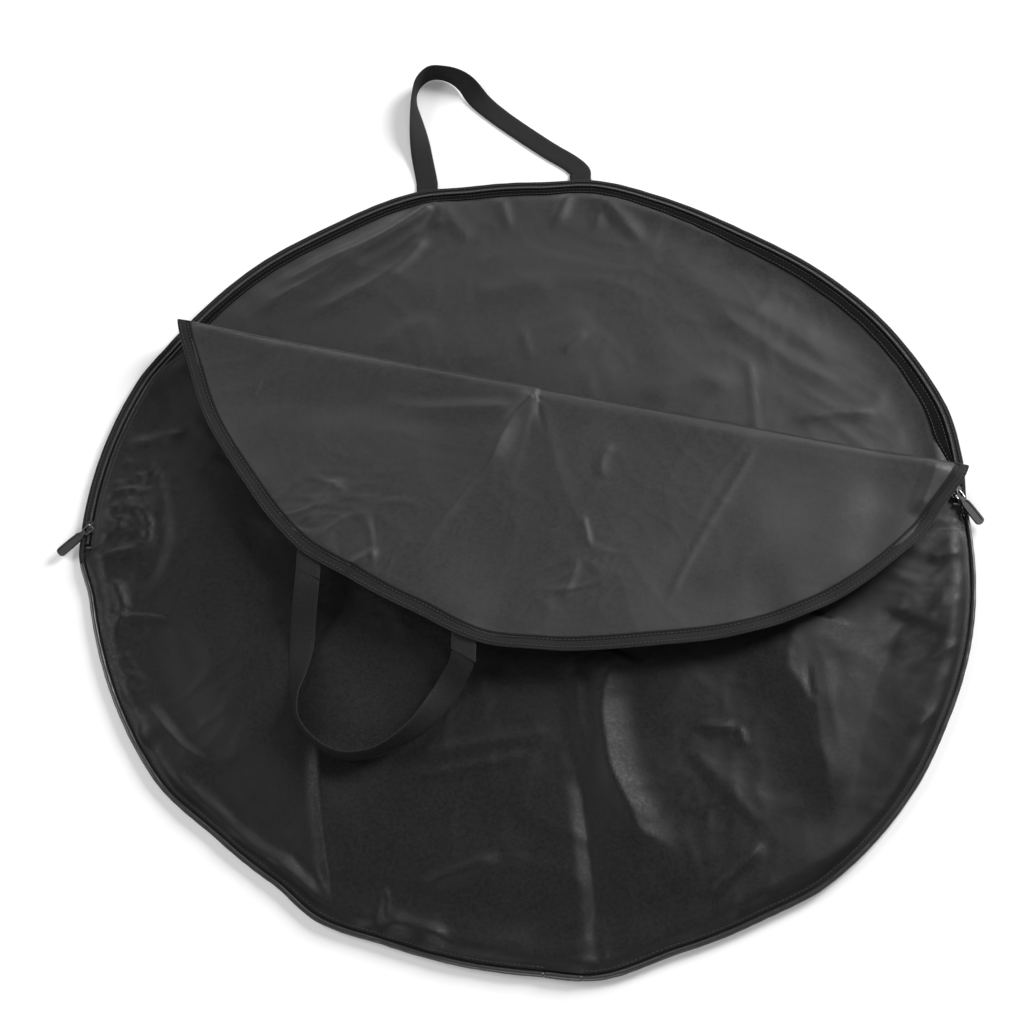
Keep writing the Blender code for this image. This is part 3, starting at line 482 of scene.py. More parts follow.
@dataclass(frozen=True)
class Rim:
    """The bag's outline, as a distance from the middle in each direction."""

    radius: float = 0.365
    stations: tuple[tuple[float, float], ...] = (
        (3.0, 0.990), (11.0, 1.011), (20.0, 1.029), (33.0, 1.027), (45.0, 1.017), (59.0, 1.003),
        (72.0, 1.015), (81.0, 1.027), (90.0, 1.010), (99.0, 1.010), (108.0, 1.025), (122.0, 1.014),
        (133.0, 1.021), (143.0, 1.023), (150.0, 1.027), (157.0, 1.037),
        (182.5, 1.037), (190.0, 1.012), (204.0, 1.005), (216.0, 1.003), (228.0, 0.981),
        (236.0, 0.980), (244.0, 1.000), (252.0, 0.991), (262.0, 0.997), (270.0, 1.005),
        (277.0, 1.020), (287.0, 1.001), (297.0, 1.003), (306.0, 1.015), (323.0, 1.007),
        (333.0, 0.998), (345.0, 0.996),
    )

    @cached_property
    def curve(self) -> tuple[Array, Array, Array]:
        """Return the stations' directions, shares of the radius and slopes, closed on themselves."""
        angles, shares = np.array((*self.stations, (self.stations[0][0] + 360.0, self.stations[0][1]))).T
        leaving = np.diff(shares) / np.diff(angles)
        arriving = np.roll(leaving, 1)
        rising = leaving * arriving > 0.0
        slopes = np.where(rising, 2.0 * leaving * arriving / np.where(rising, leaving + arriving, 1.0), 0.0)
        return angles, shares, np.append(slopes, slopes[0])

    def reach(self, angle: Array | float) -> Array:
        """Return the outline's distance from the middle.

        Args:
            angle: The directions, in degrees.

        Returns:
            The distances.
        """
        angles, shares, slopes = self.curve
        turned = np.mod(np.asarray(angle, float) - angles[0], 360.0) + angles[0]
        first = np.clip(np.searchsorted(angles, turned, side="right") - 1, 0, len(angles) - 2)
        span = angles[first + 1] - angles[first]
        way = (turned - angles[first]) / span
        blend = ease(way)
        leave = slopes[first] * span * way * (1.0 - way) ** 2
        arrive = slopes[first + 1] * span * way ** 2 * (way - 1.0)
        return self.radius * (shares[first] * (1.0 - blend) + shares[first + 1] * blend + leave + arrive)

    def point(self, angle: Array | float, inset: Array | float) -> Array:
        """Return points inside the outline.

        Args:
            angle: The directions, in degrees.
            inset: The distances inside the outline.

        Returns:
            The points' X and Y.
        """
        turn = np.radians(angle)
        radius = self.reach(angle) - inset
        return np.stack([radius * np.cos(turn), radius * np.sin(turn)], axis=-1)

    def angle(self, flat: Array) -> Array:
        """Return the points' directions from the middle, in degrees from 0 to 360."""
        return np.mod(np.degrees(np.arctan2(flat[..., 1], flat[..., 0])), 360.0)

    def inset(self, flat: Array) -> Array:
        """Return how far points lie inside the outline."""
        return self.reach(self.angle(flat)) - np.hypot(flat[..., 0], flat[..., 1])

    def outwards(self, angle: Array) -> Array:
        """Return the level directions away from the middle, as X, Y and Z."""
        turn = np.radians(angle)
        return np.stack([np.cos(turn), np.sin(turn), 0.0 * turn], axis=1)


RIM = Rim()


@dataclass(frozen=True)
class FoldLine:
    """The line over which the front flap is folded."""

    left_angle: float = 148.4
    right_angle: float = 7.4
    tip_inset: float = 0.0015
    height: float = 0.018
    bulge: float = 0.005

    @cached_property
    def left(self) -> Array:
        """Return the left tip."""
        return RIM.point(self.left_angle, self.tip_inset)

    @cached_property
    def right(self) -> Array:
        """Return the right tip."""
        return RIM.point(self.right_angle, self.tip_inset)

    @cached_property
    def length(self) -> float:
        """Return the line's length."""
        return float(np.linalg.norm(self.right - self.left))

    @cached_property
    def along(self) -> Array:
        """Return the direction from the left tip to the right one."""
        return (self.right - self.left) / self.length

    @cached_property
    def across(self) -> Array:
        """Return the direction from the line towards the bag's top."""
        return np.array((-self.along[1], self.along[0]))

    def split(self, flat: Array) -> tuple[Array, Array]:
        """Return points' distances along the line and beyond it."""
        offset = flat - self.left
        return offset @ self.along, offset @ self.across

    def place(self, along: Array, beyond: Array) -> Array:
        """Return the X and Y of points by their distances along the line and beyond it."""
        return self.left + np.multiply.outer(along, self.along) + np.multiply.outer(beyond, self.across)

    def on_line(self, along: Array) -> Array:
        """Return the X and Y of points on the line itself."""
        return self.place(along, 0.0 * along)

    def turned(self, flat: Array) -> Array:
        """Return where points lie once they are folded over the line."""
        along, beyond = self.split(flat)
        return self.place(along, -beyond)

    def short_of(self, points: Array, margin: float) -> Array:
        """Tell which points lie below the line by more than a margin."""
        return self.split(points[:, :2])[1] < -margin


FOLD = FoldLine()


@dataclass(frozen=True)
class Crease:
    """A crest or valley in the cloth along a path that is read from the photograph.

    Seen in the direction of travel, left and right are the widths of its two flanks. Keen is how
    sharp its crest is, from 0 to 1, and fade holds the shares of its length over which it starts
    and ends.
    """

    path: tuple[tuple[float, float], ...]
    rise: float
    left: float
    right: float
    keen: float = 0.6
    fade: tuple[float, float] = (0.25, 0.25)

    def height(self, flat: Array, level: float) -> Array:
        """Work out how far the crease lifts the cloth.

        Args:
            flat: The cloth's points, X and Y.
            level: The cloth's height, at which the path is read.

        Returns:
            The lift at each point.
        """
        line = smooth_run(PHOTO.on_level(self.path, level), 4)
        before = travelled(line)
        lift = np.zeros(len(flat))
        reach = max(self.left, self.right)
        low, high = line.min(0) - reach, line.max(0) + reach
        near = np.flatnonzero(np.all((flat > low) & (flat < high), axis=1))
        points = flat[near]
        best = np.full(len(points), FAR)
        side = np.zeros(len(points))
        travel = np.zeros(len(points))
        for index, length in enumerate(np.linalg.norm(np.diff(line, axis=0), axis=1)):
            ahead = (line[index + 1] - line[index]) / length
            offset = points - line[index]
            step = np.clip(offset @ ahead, 0.0, length)
            distance = np.linalg.norm(offset - step[:, None] * ahead, axis=1)
            closer = distance < best
            best[closer] = distance[closer]
            side[closer] = (ahead[0] * offset[:, 1] - ahead[1] * offset[:, 0])[closer]
            travel[closer] = (before[index] + step)[closer]
        flank = np.where(side > 0.0, self.left, self.right)
        share = np.clip(1.0 - best / flank, 0.0, 1.0)
        section = ease(share) * (1.0 - self.keen) + share ** 2 * self.keen
        travel /= before[-1]
        fade_in, fade_out = (max(fade, SHORTEST_FADE) for fade in self.fade)
        lift[near] = self.rise * section * (ease(travel / fade_in) * ease((1.0 - travel) / fade_out))
        return lift


def swell(flat: Array, length: float, seed: int, waves: int = 9) -> Array:
    """Return slow waves of about unit height.

    Args:
        flat: The points, X and Y.
        length: The waves' usual length.
        seed: Which set of waves.
        waves: How many are added up.

    Returns:
        The height at each point.
    """
    random = np.random.default_rng(seed)
    total = np.zeros(len(flat))
    for _ in range(waves):
        turn = random.uniform(0.0, math.tau)
        pitch = length * random.uniform(0.7, 1.5)
        heading = np.array((math.cos(turn), math.sin(turn)))
        total += np.sin(flat @ heading * (math.tau / pitch) + random.uniform(0.0, math.tau))
    return total / math.sqrt(waves / 2.0)


def crumples(flat: Array, length: float, seed: int) -> Array:
    """Return sharp-crested crumples, from 0 in the hollows to about 1 on the crests."""
    drift = np.stack([swell(flat, length * 2.2, seed + 50), swell(flat, length * 2.2, seed + 51)], axis=1)
    warped = flat + drift * length * 0.22
    first = np.abs(swell(warped, length, seed, 5))
    second = np.abs(swell(warped, length * 0.55, seed + 1, 5))
    return np.clip(1.0 - first, 0.0, 1.0) * 0.7 + np.clip(1.0 - second, 0.0, 1.0) * 0.3


def gathers(turn: Array, inset: Array, waves: tuple[float, float, float], fade: float) -> Array:
    """Return gathers that run in from the rim's seam.

    Args:
        turn: The points' directions, in radians.
        inset: How far they lie inside the rim.
        waves: How many waves go round, how far they drift, and how often.
        fade: The distance over which they fade inwards.

    Returns:
        The gathers, of unit height at the seam.
    """
    count, drift, drifts = waves
    return np.sin(turn * count + drift * np.sin(turn * drifts)) * np.exp(-np.maximum(inset - SEAM_INSET, 0.0) / fade)


def patch(flat: Array, pixel: tuple[float, float], level: float, radii: tuple[float, float],
          turn: float = 0.0) -> Array:
    """Return a soft-edged oval mask about a place in the photograph.

    Args:
        flat: The points, X and Y.
        pixel: The patch's middle in the photograph.
        level: The height at which it is read.
        radii: Its half width and half height.
        turn: How far it is turned, in degrees.

    Returns:
        The mask, 1 in the middle and 0 outside.
    """
    offset = flat - PHOTO.on_level([pixel], level)[0]
    cosine, sine = math.cos(math.radians(turn)), math.sin(math.radians(turn))
    across = (offset[:, 0] * cosine + offset[:, 1] * sine) / radii[0]
    upwards = (offset[:, 1] * cosine - offset[:, 0] * sine) / radii[1]
    return ease(1.3 * (1.0 - np.hypot(across, upwards)))


@dataclass(frozen=True)
class FrontCloth:
    """The lower front panel's surface.

    Each span is a pair of where it starts and how wide it is, in metres inside the rim or in degrees.
    """

    edge_level: float = 0.0040
    ring_level: float = 0.0056
    crown_level: float = 0.0094
    crown_rise: Span = (0.030, 0.050)
    level: float = 0.007
    piping_inset: float = 0.0056
    zip_inset: float = 0.017
    side_inset: float = 0.0120
    side_change: Span = (1.0, 5.0)
    left_change: float = 182.5
    right_change: float = 2.6
    change: float = 1.6
    softness: float = 0.0008
    seam_width: float = 0.008
    sewn_width: float = 0.010
    held_width: float = 0.014
    fold_fade: float = 0.022
    belly: float = 0.0013
    belly_place: Span = (0.016, 0.012)
    side_raise: float = 0.0028
    side_rise: Span = (0.006, 0.016)
    right_side: tuple[Span, Span] = ((278.0, 25.0), (362.0, 6.0))
    left_side: tuple[Span, Span] = ((163.0, 10.0), (200.0, 10.0))
    right_smoothing: float = 0.8
    lowest_rim: float = 0.0031
    lowest_rise: float = 0.0011
    lowest_rise_span: Span = (0.010, 0.008)
    lowest_fall: float = 0.0017
    lowest_fall_span: Span = (0.030, 0.045)
    creases: tuple[Crease, ...] = (
        # The folds that climb from the bottom edge to the flap, from left to right.
        Crease(((336, 922), (327, 860), (320, 790), (318, 730)), 0.0042, 0.012, 0.040, 0.9),
        Crease(((602, 964), (597, 930), (593, 890), (586, 827), (579, 781), (575, 740)),
               -0.0030, 0.014, 0.030, 0.95, (0.05, 0.30)),
        Crease(((592, 958), (584, 925), (577, 880), (571, 830), (568, 780)), 0.0020, 0.040, 0.013, 0.2, (0.1, 0.4)),
        Crease(((604, 962), (604, 935), (600, 912)), 0.0022, 0.005, 0.006, 0.9, (0.1, 0.5)),
        Crease(((590, 790), (582, 740), (576, 700), (574, 650)), 0.0020, 0.014, 0.014, 0.5, (0.3, 0.05)),
        Crease(((694, 858), (657, 841), (639, 833), (630, 812), (618, 790), (609, 768),
                (605, 748), (601, 715), (602, 695), (608, 672), (617, 652)),
               0.0056, 0.026, 0.030, 0.95, (0.35, 0.02)),
        Crease(((700, 862), (668, 828), (640, 775), (634, 720), (640, 655)), -0.0012, 0.022, 0.034, 0.0),
        Crease(((841, 830), (829, 790), (822, 757), (816, 722), (812, 704), (793, 680), (786, 662), (797, 612)),
               0.0052, 0.045, 0.064, 0.9, (0.22, 0.0)),
        Crease(((848, 828), (858, 765), (872, 700), (905, 612)), -0.0032, 0.024, 0.045, 0.4, (0.2, 0.05)),
        # The small creases between and beside them.
        Crease(((813, 706), (808, 690), (806, 662)), -0.0018, 0.005, 0.005, 0.9, (0.2, 0.4)),
        Crease(((692, 726), (716, 729), (737, 726)), 0.0026, 0.006, 0.009, 0.9, (0.4, 0.3)),
        Crease(((742, 752), (741, 738), (735, 727)), 0.0022, 0.005, 0.007, 0.9, (0.4, 0.3)),
        Crease(((770, 832), (735, 800), (700, 762), (682, 738)), 0.0014, 0.010, 0.022, 0.6),
        Crease(((708, 897), (735, 872), (765, 842)), 0.0030, 0.007, 0.012, 0.8),
        # The crest along the lower left edge, and the creases between it and the middle.
        Crease(((330, 912), (280, 868), (228, 832), (185, 792), (152, 756)), 0.0046, 0.018, 0.013, 0.9, (0.1, 0.25)),
        Crease(((338, 896), (290, 850), (240, 812), (198, 776)), -0.0024, 0.010, 0.014, 0.4),
        Crease(((145, 700), (165, 728), (188, 752), (214, 762)), 0.0034, 0.010, 0.018, 0.7),
        Crease(((418, 884), (460, 872), (502, 854)), 0.0026, 0.008, 0.014, 0.7),
        Crease(((392, 760), (460, 748), (556, 732)), 0.0024, 0.010, 0.014, 0.6),
        Crease(((380, 778), (450, 772), (540, 752)), 0.0016, 0.008, 0.010, 0.6),
        Crease(((380, 922), (412, 926), (452, 940)), 0.0030, 0.010, 0.014, 0.6),
        Crease(((382, 922), (386, 900), (380, 884)), 0.0018, 0.006, 0.008, 0.8),
        # The crumpled patch beside the left slider.
        Crease(((108, 636), (122, 618), (120, 596), (112, 580)), 0.0030, 0.007, 0.010, 0.8),
        Crease(((112, 618), (138, 617), (172, 620)), 0.0022, 0.005, 0.008, 0.8),
        Crease(((146, 458), (160, 492), (165, 535), (152, 575), (122, 603)), -0.0026, 0.010, 0.044, 0.3, (0.2, 0.2)),
        Crease(((98, 566), (120, 556), (142, 548), (148, 528), (140, 500)), 0.0022, 0.010, 0.010, 0.7, (0.1, 0.3)),
        Crease(((118, 538), (128, 505), (140, 478), (140, 462)), 0.0022, 0.008, 0.010, 0.7),
        Crease(((120, 446), (150, 440), (190, 432)), 0.0024, 0.012, 0.014, 0.6),
        # The right edge.
        Crease(((885, 655), (930, 618), (950, 585)), 0.0022, 0.012, 0.018, 0.6),
        Crease(((905, 672), (938, 655), (962, 640)), 0.0013, 0.007, 0.010, 0.8),
        Crease(((905, 735), (935, 712), (952, 690)), 0.0014, 0.008, 0.010, 0.7),
        Crease(((925, 560), (948, 556), (966, 552)), 0.0018, 0.008, 0.010, 0.8),
    )

    def edge(self, angle: Array) -> Array:
        """Return how far inside the rim the cloth stops: less where it is sewn to the piping."""
        turned = from_bottom(angle)
        left = until(turned, self.left_change + self.change, self.change)
        right = past(turned - self.right_change, -self.change, self.change)
        narrowed = past(turned - FOLD.left_angle, *self.side_change)
        beside_zip = self.zip_inset + (self.side_inset - self.zip_inset) * narrowed
        return self.piping_inset + (beside_zip - self.piping_inset) * np.minimum(left, right)

    def crown(self, inset: Array) -> Array:
        """Return the height of the smooth panel by the distance inside the rim."""
        return self.ring_level + (self.crown_level - self.ring_level) * past(inset, *self.crown_rise)

    def lowest(self, inset: Array) -> Array:
        """Return how low the cloth may lie on what is below it."""
        rise = self.lowest_rise * past(inset, *self.lowest_rise_span)
        return self.lowest_rim + rise - self.lowest_fall * past(inset, *self.lowest_fall_span)

    def relief(self, flat: Array) -> Array:
        """Return the creases and crumples, before they are held down at the edges."""
        lift = swell(flat, 0.17, 11) * 0.0011 + swell(flat, 0.075, 12) * 0.00028
        for crease in self.creases:
            lift += crease.height(flat, self.level)
        glossy = patch(flat, (128, 505), self.level, (0.045, 0.085))
        lower_left = patch(flat, (118, 640), self.level, (0.035, 0.095), 12.0)
        middle = patch(flat, (690, 770), self.level, (0.11, 0.12))
        right = patch(flat, (925, 620), self.level, (0.06, 0.09))
        lift += crumples(flat, 0.028, 21) * (glossy * 0.0026 + lower_left * 0.0014)
        lift += crumples(flat, 0.060, 24) * (middle * 0.0009 + right * 0.0010)
        lift += crumples(flat, 0.085, 27) * 0.0008
        return lift

    def puckers(self, flat: Array) -> Array:
        """Return the gathers that run in from the sewn edge."""
        angle = RIM.angle(flat)
        inset = RIM.inset(flat)
        turn = np.radians(angle)
        drift = np.sin(turn * 7.0 + 1.3) + 0.6 * np.sin(turn * 17.0 + 0.4)
        fine = np.sin(turn * 92.0 + 2.4 * drift)
        coarse = np.sin(turn * 37.0 + 3.1 * drift + 0.8)
        strength = 0.45 + 0.55 * np.sin(turn * 5.0 + 2.0) ** 2
        fade_in = past(inset, self.piping_inset, 0.006)
        sewn = until(self.edge(angle), self.zip_inset, 0.012)
        short = fine * np.exp(-inset / 0.010) * 0.0011
        long = coarse * np.exp(-inset / 0.024) * 0.0020
        return (short + long) * strength * fade_in * sewn

    def height(self, flat: Array) -> Array:
        """Work out the height of the cloth's middle layer.

        Args:
            flat: The points, X and Y.

        Returns:
            The heights.
        """
        angle = RIM.angle(flat)
        inset = RIM.inset(flat)
        _, beyond = FOLD.split(flat)
        sewn = 1.0 - past(self.edge(angle), self.piping_inset, self.sewn_width)
        held = past(inset, self.edge(angle), self.held_width)
        off_fold = ease(-beyond / self.fold_fade)
        right_side, left_side = within(angle, *self.right_side), within(angle, *self.left_side)
        seam = (self.ring_level - self.edge_level) * (1.0 - past(inset, self.piping_inset, self.seam_width)) * sewn
        belly = self.belly * sewn * past(inset, self.piping_inset, self.sewn_width) * bell(inset, *self.belly_place)
        propped = self.side_raise * (right_side + left_side) * past(inset, *self.side_rise)
        propped *= 1.0 - past(inset, *self.crown_rise)
        puckers = self.puckers(flat) * off_fold * (1.0 - self.right_smoothing * right_side)
        raised = self.crown(inset) - seam + belly + propped
        height = raised + self.relief(flat) * held * off_fold + puckers
        lowest = self.lowest(inset)
        above = height - lowest
        return lowest + (above + np.sqrt(above ** 2 + self.softness ** 2)) / 2.0


@dataclass(frozen=True)
class FlapCloth:
    """The folded flap's surface.

    Places along the fold are shares of its length, from the left tip to the right one.
    """

    level: float = 0.030
    edge_left: float = 0.0320
    edge_middle: float = 0.0309
    edge_right: float = 0.0262
    left_end: float = 0.45
    right_span: Span = (0.42, 0.5)
    edge_inset: float = 0.017
    tip_spread: float = 0.007
    tip_turn: float = 11.0
    tip_rise: float = 0.0072
    tip_place: Span = (0.932, 0.026)
    tip_fade: float = 0.06
    reach: float = 0.218
    reach_middle: float = 0.54
    least_depth: float = 0.02
    sag: float = 0.0022
    sag_depth: float = 0.12
    crest_rise: float = 0.0016
    crest_depth: float = 0.009
    crest_start: Span = (0.03, 0.06)
    fold_fade: float = 0.010
    peak_pixel: tuple[float, float] = (537, 393)
    peak_step: float = 0.0013
    peak_drop: float = 0.8
    peak_width: float = 0.006
    peak_flanks: tuple[float, float] = (0.05, 0.07)
    peak_fade: float = 0.035
    creases: tuple[Crease, ...] = (
        Crease(((534, 394), (514, 414), (500, 437), (486, 466), (478, 482)), 0.0044, 0.017, 0.014, 1.0, (0.02, 0.5)),
        Crease(((492, 455), (460, 495), (432, 533), (405, 574)), 0.0014, 0.010, 0.012, 0.8, (0.3, 0.5)),
        Crease(((538, 395), (540, 412), (545, 436)), -0.0012, 0.004, 0.006, 0.9, (0.0, 0.6)),
        Crease(((540, 400), (550, 440), (562, 480), (580, 520), (589, 546)), 0.0009, 0.014, 0.030, 0.7, (0.1, 0.5)),
        Crease(((360, 398), (430, 405), (515, 406)), 0.0022, 0.012, 0.020, 0.4, (0.5, 0.1)),
        Crease(((758, 442), (722, 500), (690, 555), (662, 612)), 0.0009, 0.007, 0.007, 0.9, (0.1, 0.2)),
        Crease(((281, 352), (262, 374), (250, 398)), 0.0012, 0.006, 0.008, 0.8),
        Crease(((298, 528), (322, 500), (344, 474)), 0.0026, 0.010, 0.014, 0.7),
        Crease(((338, 573), (362, 560), (380, 548)), 0.0024, 0.008, 0.012, 0.7),
        Crease(((582, 512), (586, 530), (590, 547)), 0.0014, 0.005, 0.006, 0.9),
        Crease(((600, 478), (602, 455), (614, 440)), 0.0014, 0.008, 0.010, 0.6),
        Crease(((934, 462), (930, 482), (915, 516)), 0.0044, 0.024, 0.010, 0.5, (0.02, 0.3)),
        Crease(((240, 385), (300, 402), (380, 402), (470, 415)), -0.0016, 0.030, 0.030, 0.2),
        Crease(((660, 590), (740, 560), (830, 520), (900, 500)), 0.0020, 0.035, 0.030, 0.3),
        Crease(((560, 600), (572, 575), (578, 555)), 0.0016, 0.008, 0.008, 0.7),
    )

    def base(self, flat: Array) -> Array:
        """Return the flap's smooth height: raised at its left edge and low at its right one."""
        along, beyond = FOLD.split(flat)
        share = along / FOLD.length
        depth = -beyond
        full = np.maximum(self.depth_at(share), self.least_depth)
        at_fold = 2 * FOLD.height - FRONT.crown(RIM.inset(FOLD.on_line(along)))
        tip = ease(np.minimum(share, 1.0 - share) / self.tip_fade)
        edge = at_fold + (self.edge_level(share) - at_fold) * tip
        sag = -self.sag * np.sin(np.pi * np.clip(depth / full, 0.0, 1.0)) * ease(full / self.sag_depth)
        near = np.maximum(depth, 0.0) / self.crest_depth
        crest = self.crest_rise * near * np.exp(1.0 - near) * past(full, *self.crest_start)
        smooth = at_fold + (edge - at_fold) * ease(depth / full)
        return smooth + sag + crest + self.step(along) * np.exp(-depth / self.peak_fade)

    def edge_level(self, share: Array) -> Array:
        """Return the height of the flap's edge, by the share along the fold."""
        left = (self.edge_left - self.edge_middle) * (1.0 - ease(share / self.left_end))
        right = (self.edge_right - self.edge_middle) * past(share, *self.right_span)
        return self.edge_middle + left + right + self.tip_rise * bell(share, *self.tip_place)

    def step(self, along: Array) -> Array:
        """Return the small peak in the fold's edge: it climbs from the left and drops at once on the right."""
        peak, _ = FOLD.split(PHOTO.on_level([self.peak_pixel], self.level))
        offset = along - peak[0]
        climb = np.exp(np.minimum(offset, 0.0) / self.peak_flanks[0])
        fall = np.exp(-np.maximum(offset, 0.0) / self.peak_flanks[1])
        share = ease(offset / self.peak_width + 0.5)
        return self.peak_step * (climb * (1.0 - share) - fall * share * self.peak_drop)

    def depth_at(self, share: Array) -> Array:
        """Return how far the flap reaches from the fold line, by the share along it."""
        offset = (share - self.reach_middle) / self.reach_middle
        return self.reach * np.sqrt(np.clip(1.0 - np.square(offset), 0.0, 1.0))

    def height(self, flat: Array) -> Array:
        """Work out the height of the cloth's middle layer.

        Args:
            flat: The points, X and Y, as they lie folded down.

        Returns:
            The heights.
        """
        _, beyond = FOLD.split(flat)
        closed = FOLD.turned(flat)
        inset = RIM.inset(closed)
        lift = swell(flat, 0.19, 31) * 0.0009 + swell(flat, 0.08, 32) * 0.00030
        for crease in self.creases:
            lift += crease.height(flat, self.level)
        lift += crumples(flat, 0.060, 33) * patch(flat, (330, 520), self.level, (0.10, 0.09)) * 0.0014
        lift += crumples(flat, 0.045, 34) * patch(flat, (575, 575), self.level, (0.06, 0.06)) * 0.0010
        lift += crumples(flat, 0.090, 35) * 0.0004
        wave = gathers(np.radians(RIM.angle(closed)), inset, (31.0, 2.0, 9.0), 0.020)
        held = 0.25 + 0.75 * past(inset, SEAM_INSET, 0.014)
        off_fold = ease(-beyond / self.fold_fade)
        return self.base(flat) + lift * held * (0.3 + 0.7 * off_fold) + wave * 0.0007 * off_fold

    def edge(self, angle: Array) -> Array:
        """Return how far inside the rim the cloth stops: less beside the fold's right tip."""
        turned = from_bottom(angle)
        return self.edge_inset - self.tip_spread * ease(1.0 - (turned - FOLD.right_angle) / self.tip_turn)


@dataclass(frozen=True)
class BackCloth:
    """The back panel's surface."""

    low_level: float = 0.00040
    ring_level: float = 0.00215
    ring_fade: Span = (0.028, 0.045)
    inset: float = 0.0039
    level: float = 0.002
    shoulder: float = 0.0022
    shoulder_insets: tuple[float, float] = (0.0084, 0.0206)
    shoulder_fall: float = 0.026
    shoulder_start: Span = (6.0, 8.0)
    shoulder_end: Span = (102.0, 30.0)
    creases: tuple[Crease, ...] = (
        # The three crests at the top left.
        Crease(((244, 319), (300, 290), (360, 256), (418, 221), (436, 203)), 0.0060, 0.026, 0.014, 0.9, (0.25, 0.02)),
        Crease(((300, 318), (345, 300), (395, 270), (428, 236)), 0.0036, 0.016, 0.012, 0.8, (0.3, 0.1)),
        Crease(((268, 292), (330, 262), (390, 236), (430, 208)), 0.0036, 0.012, 0.012, 0.5, (0.2, 0.02)),
        # The pleats below the handle.
        Crease(((437, 232), (440, 214), (438, 200)), 0.0030, 0.010, 0.012, 0.6, (0.3, 0.0)),
        Crease(((470, 246), (452, 222), (446, 202)), 0.0026, 0.010, 0.016, 0.6, (0.4, 0.0)),
        Crease(((512, 236), (504, 214), (500, 198)), 0.0026, 0.010, 0.012, 0.6, (0.5, 0.0)),
        Crease(((548, 232), (560, 214), (568, 196)), 0.0028, 0.012, 0.012, 0.6, (0.5, 0.0)),
        Crease(((590, 236), (598, 216), (600, 200)), 0.0026, 0.010, 0.014, 0.6, (0.5, 0.0)),
        Crease(((650, 250), (622, 222), (606, 204)), 0.0026, 0.012, 0.016, 0.5, (0.5, 0.0)),
        # The slow waves and small creases in the middle and on the right.
        Crease(((655, 385), (628, 350), (600, 312), (590, 280)), -0.0014, 0.030, 0.030, 0.2),
        Crease(((655, 262), (720, 296), (790, 330), (845, 372)), 0.0014, 0.022, 0.030, 0.4),
        Crease(((700, 300), (760, 340), (810, 372), (862, 385)), 0.0016, 0.016, 0.022, 0.5),
        Crease(((790, 420), (835, 413), (882, 412)), 0.0022, 0.008, 0.014, 0.7),
        Crease(((757, 436), (753, 400), (748, 352)), 0.0011, 0.006, 0.006, 0.9, (0.1, 0.3)),
        Crease(((560, 353), (572, 342), (586, 330)), 0.0016, 0.007, 0.009, 0.7),
        Crease(((530, 362), (525, 342), (519, 322)), 0.0012, 0.006, 0.008, 0.7),
        Crease(((380, 356), (400, 332), (440, 320)), 0.0016, 0.016, 0.020, 0.4),
        Crease(((470, 300), (520, 286), (560, 290)), 0.0014, 0.020, 0.020, 0.3),
        Crease(((640, 400), (700, 380), (740, 388)), 0.0018, 0.018, 0.020, 0.4),
    )

    def edge(self, angle: Array) -> Array:
        """Return how far inside the rim the cloth stops."""
        return np.full_like(angle, self.inset)

    def height(self, flat: Array) -> Array:
        """Work out the height of the cloth's middle layer.

        Args:
            flat: The points, X and Y.

        Returns:
            The heights.
        """
        angle = RIM.angle(flat)
        inset = RIM.inset(flat)
        _, beyond = FOLD.split(flat)
        base = self.ring_level + (self.low_level - self.ring_level) * past(inset, *self.ring_fade)
        base += (self.shouldered(inset) - base) * within(angle, self.shoulder_start, self.shoulder_end)
        lift = (swell(flat, 0.16, 41) + 1.2) * 0.0006 + (swell(flat, 0.07, 42) + 1.2) * 0.00022
        for crease in self.creases:
            lift += crease.height(flat, self.level)
        lift += crumples(flat, 0.080, 43) * 0.0006
        wave = gathers(np.radians(angle), inset, (61.0, 2.2, 11.0), 0.018)
        held = past(inset, 0.010, 0.014)
        covered = 0.25 + 0.75 * ease((beyond + 0.06) / 0.06)
        return base + np.maximum(lift, 0.0) * held * covered + (wave * 0.0006 + 0.0003) * held

    def shouldered(self, inset: Array) -> Array:
        """Return the smooth height where the edge is raised: it climbs under the facing and then falls."""
        first, last = self.shoulder_insets
        outside = self.ring_level + self.shoulder * np.clip((inset - first) / (last - first), 0.0, 1.0)
        top = self.ring_level + self.shoulder - self.low_level
        inside = self.low_level + top * np.clip(1.0 - (inset - last) / self.shoulder_fall, 0.0, 1.0) ** 2
        return np.where(inset < last, outside, inside)


FRONT = FrontCloth()
FLAP = FlapCloth()
BACK = BackCloth()


def new_mesh(name: str, points: Array, faces: Array | Sequence[Sequence[int]]) -> bpy.types.Object:
    """Add a smoothly shaded object with a mesh of its own.

    Args:
        name: The piece's name.
        points: Its points.
        faces: The points' numbers, a row for each face.

    Returns:
        The object.
    """
    mesh = bpy.data.meshes.new(name)
    mesh.from_pydata(points.tolist(), [], faces.tolist() if isinstance(faces, np.ndarray) else faces)
    mesh.validate()
    made = bpy.data.objects.new(name, mesh)
    bpy.context.collection.objects.link(made)
    mesh.shade_smooth()
    return made


def grid(rows: int, columns: int, closed: bool = False) -> Array:
    """Number the corners of a net's square faces.

    Args:
        rows: How many rows of points the net has.
        columns: How many points are in a row.
        closed: Whether each row closes on itself.

    Returns:
        Four points' numbers for each face.
    """
    number = np.arange(rows * columns).reshape(rows, columns)
    if closed:
        number = np.hstack([number, number[:, :1]])
    corners = [number[:-1, :-1], number[:-1, 1:], number[1:, 1:], number[1:, :-1]]
    return np.stack(corners, axis=-1).reshape(-1, 4)


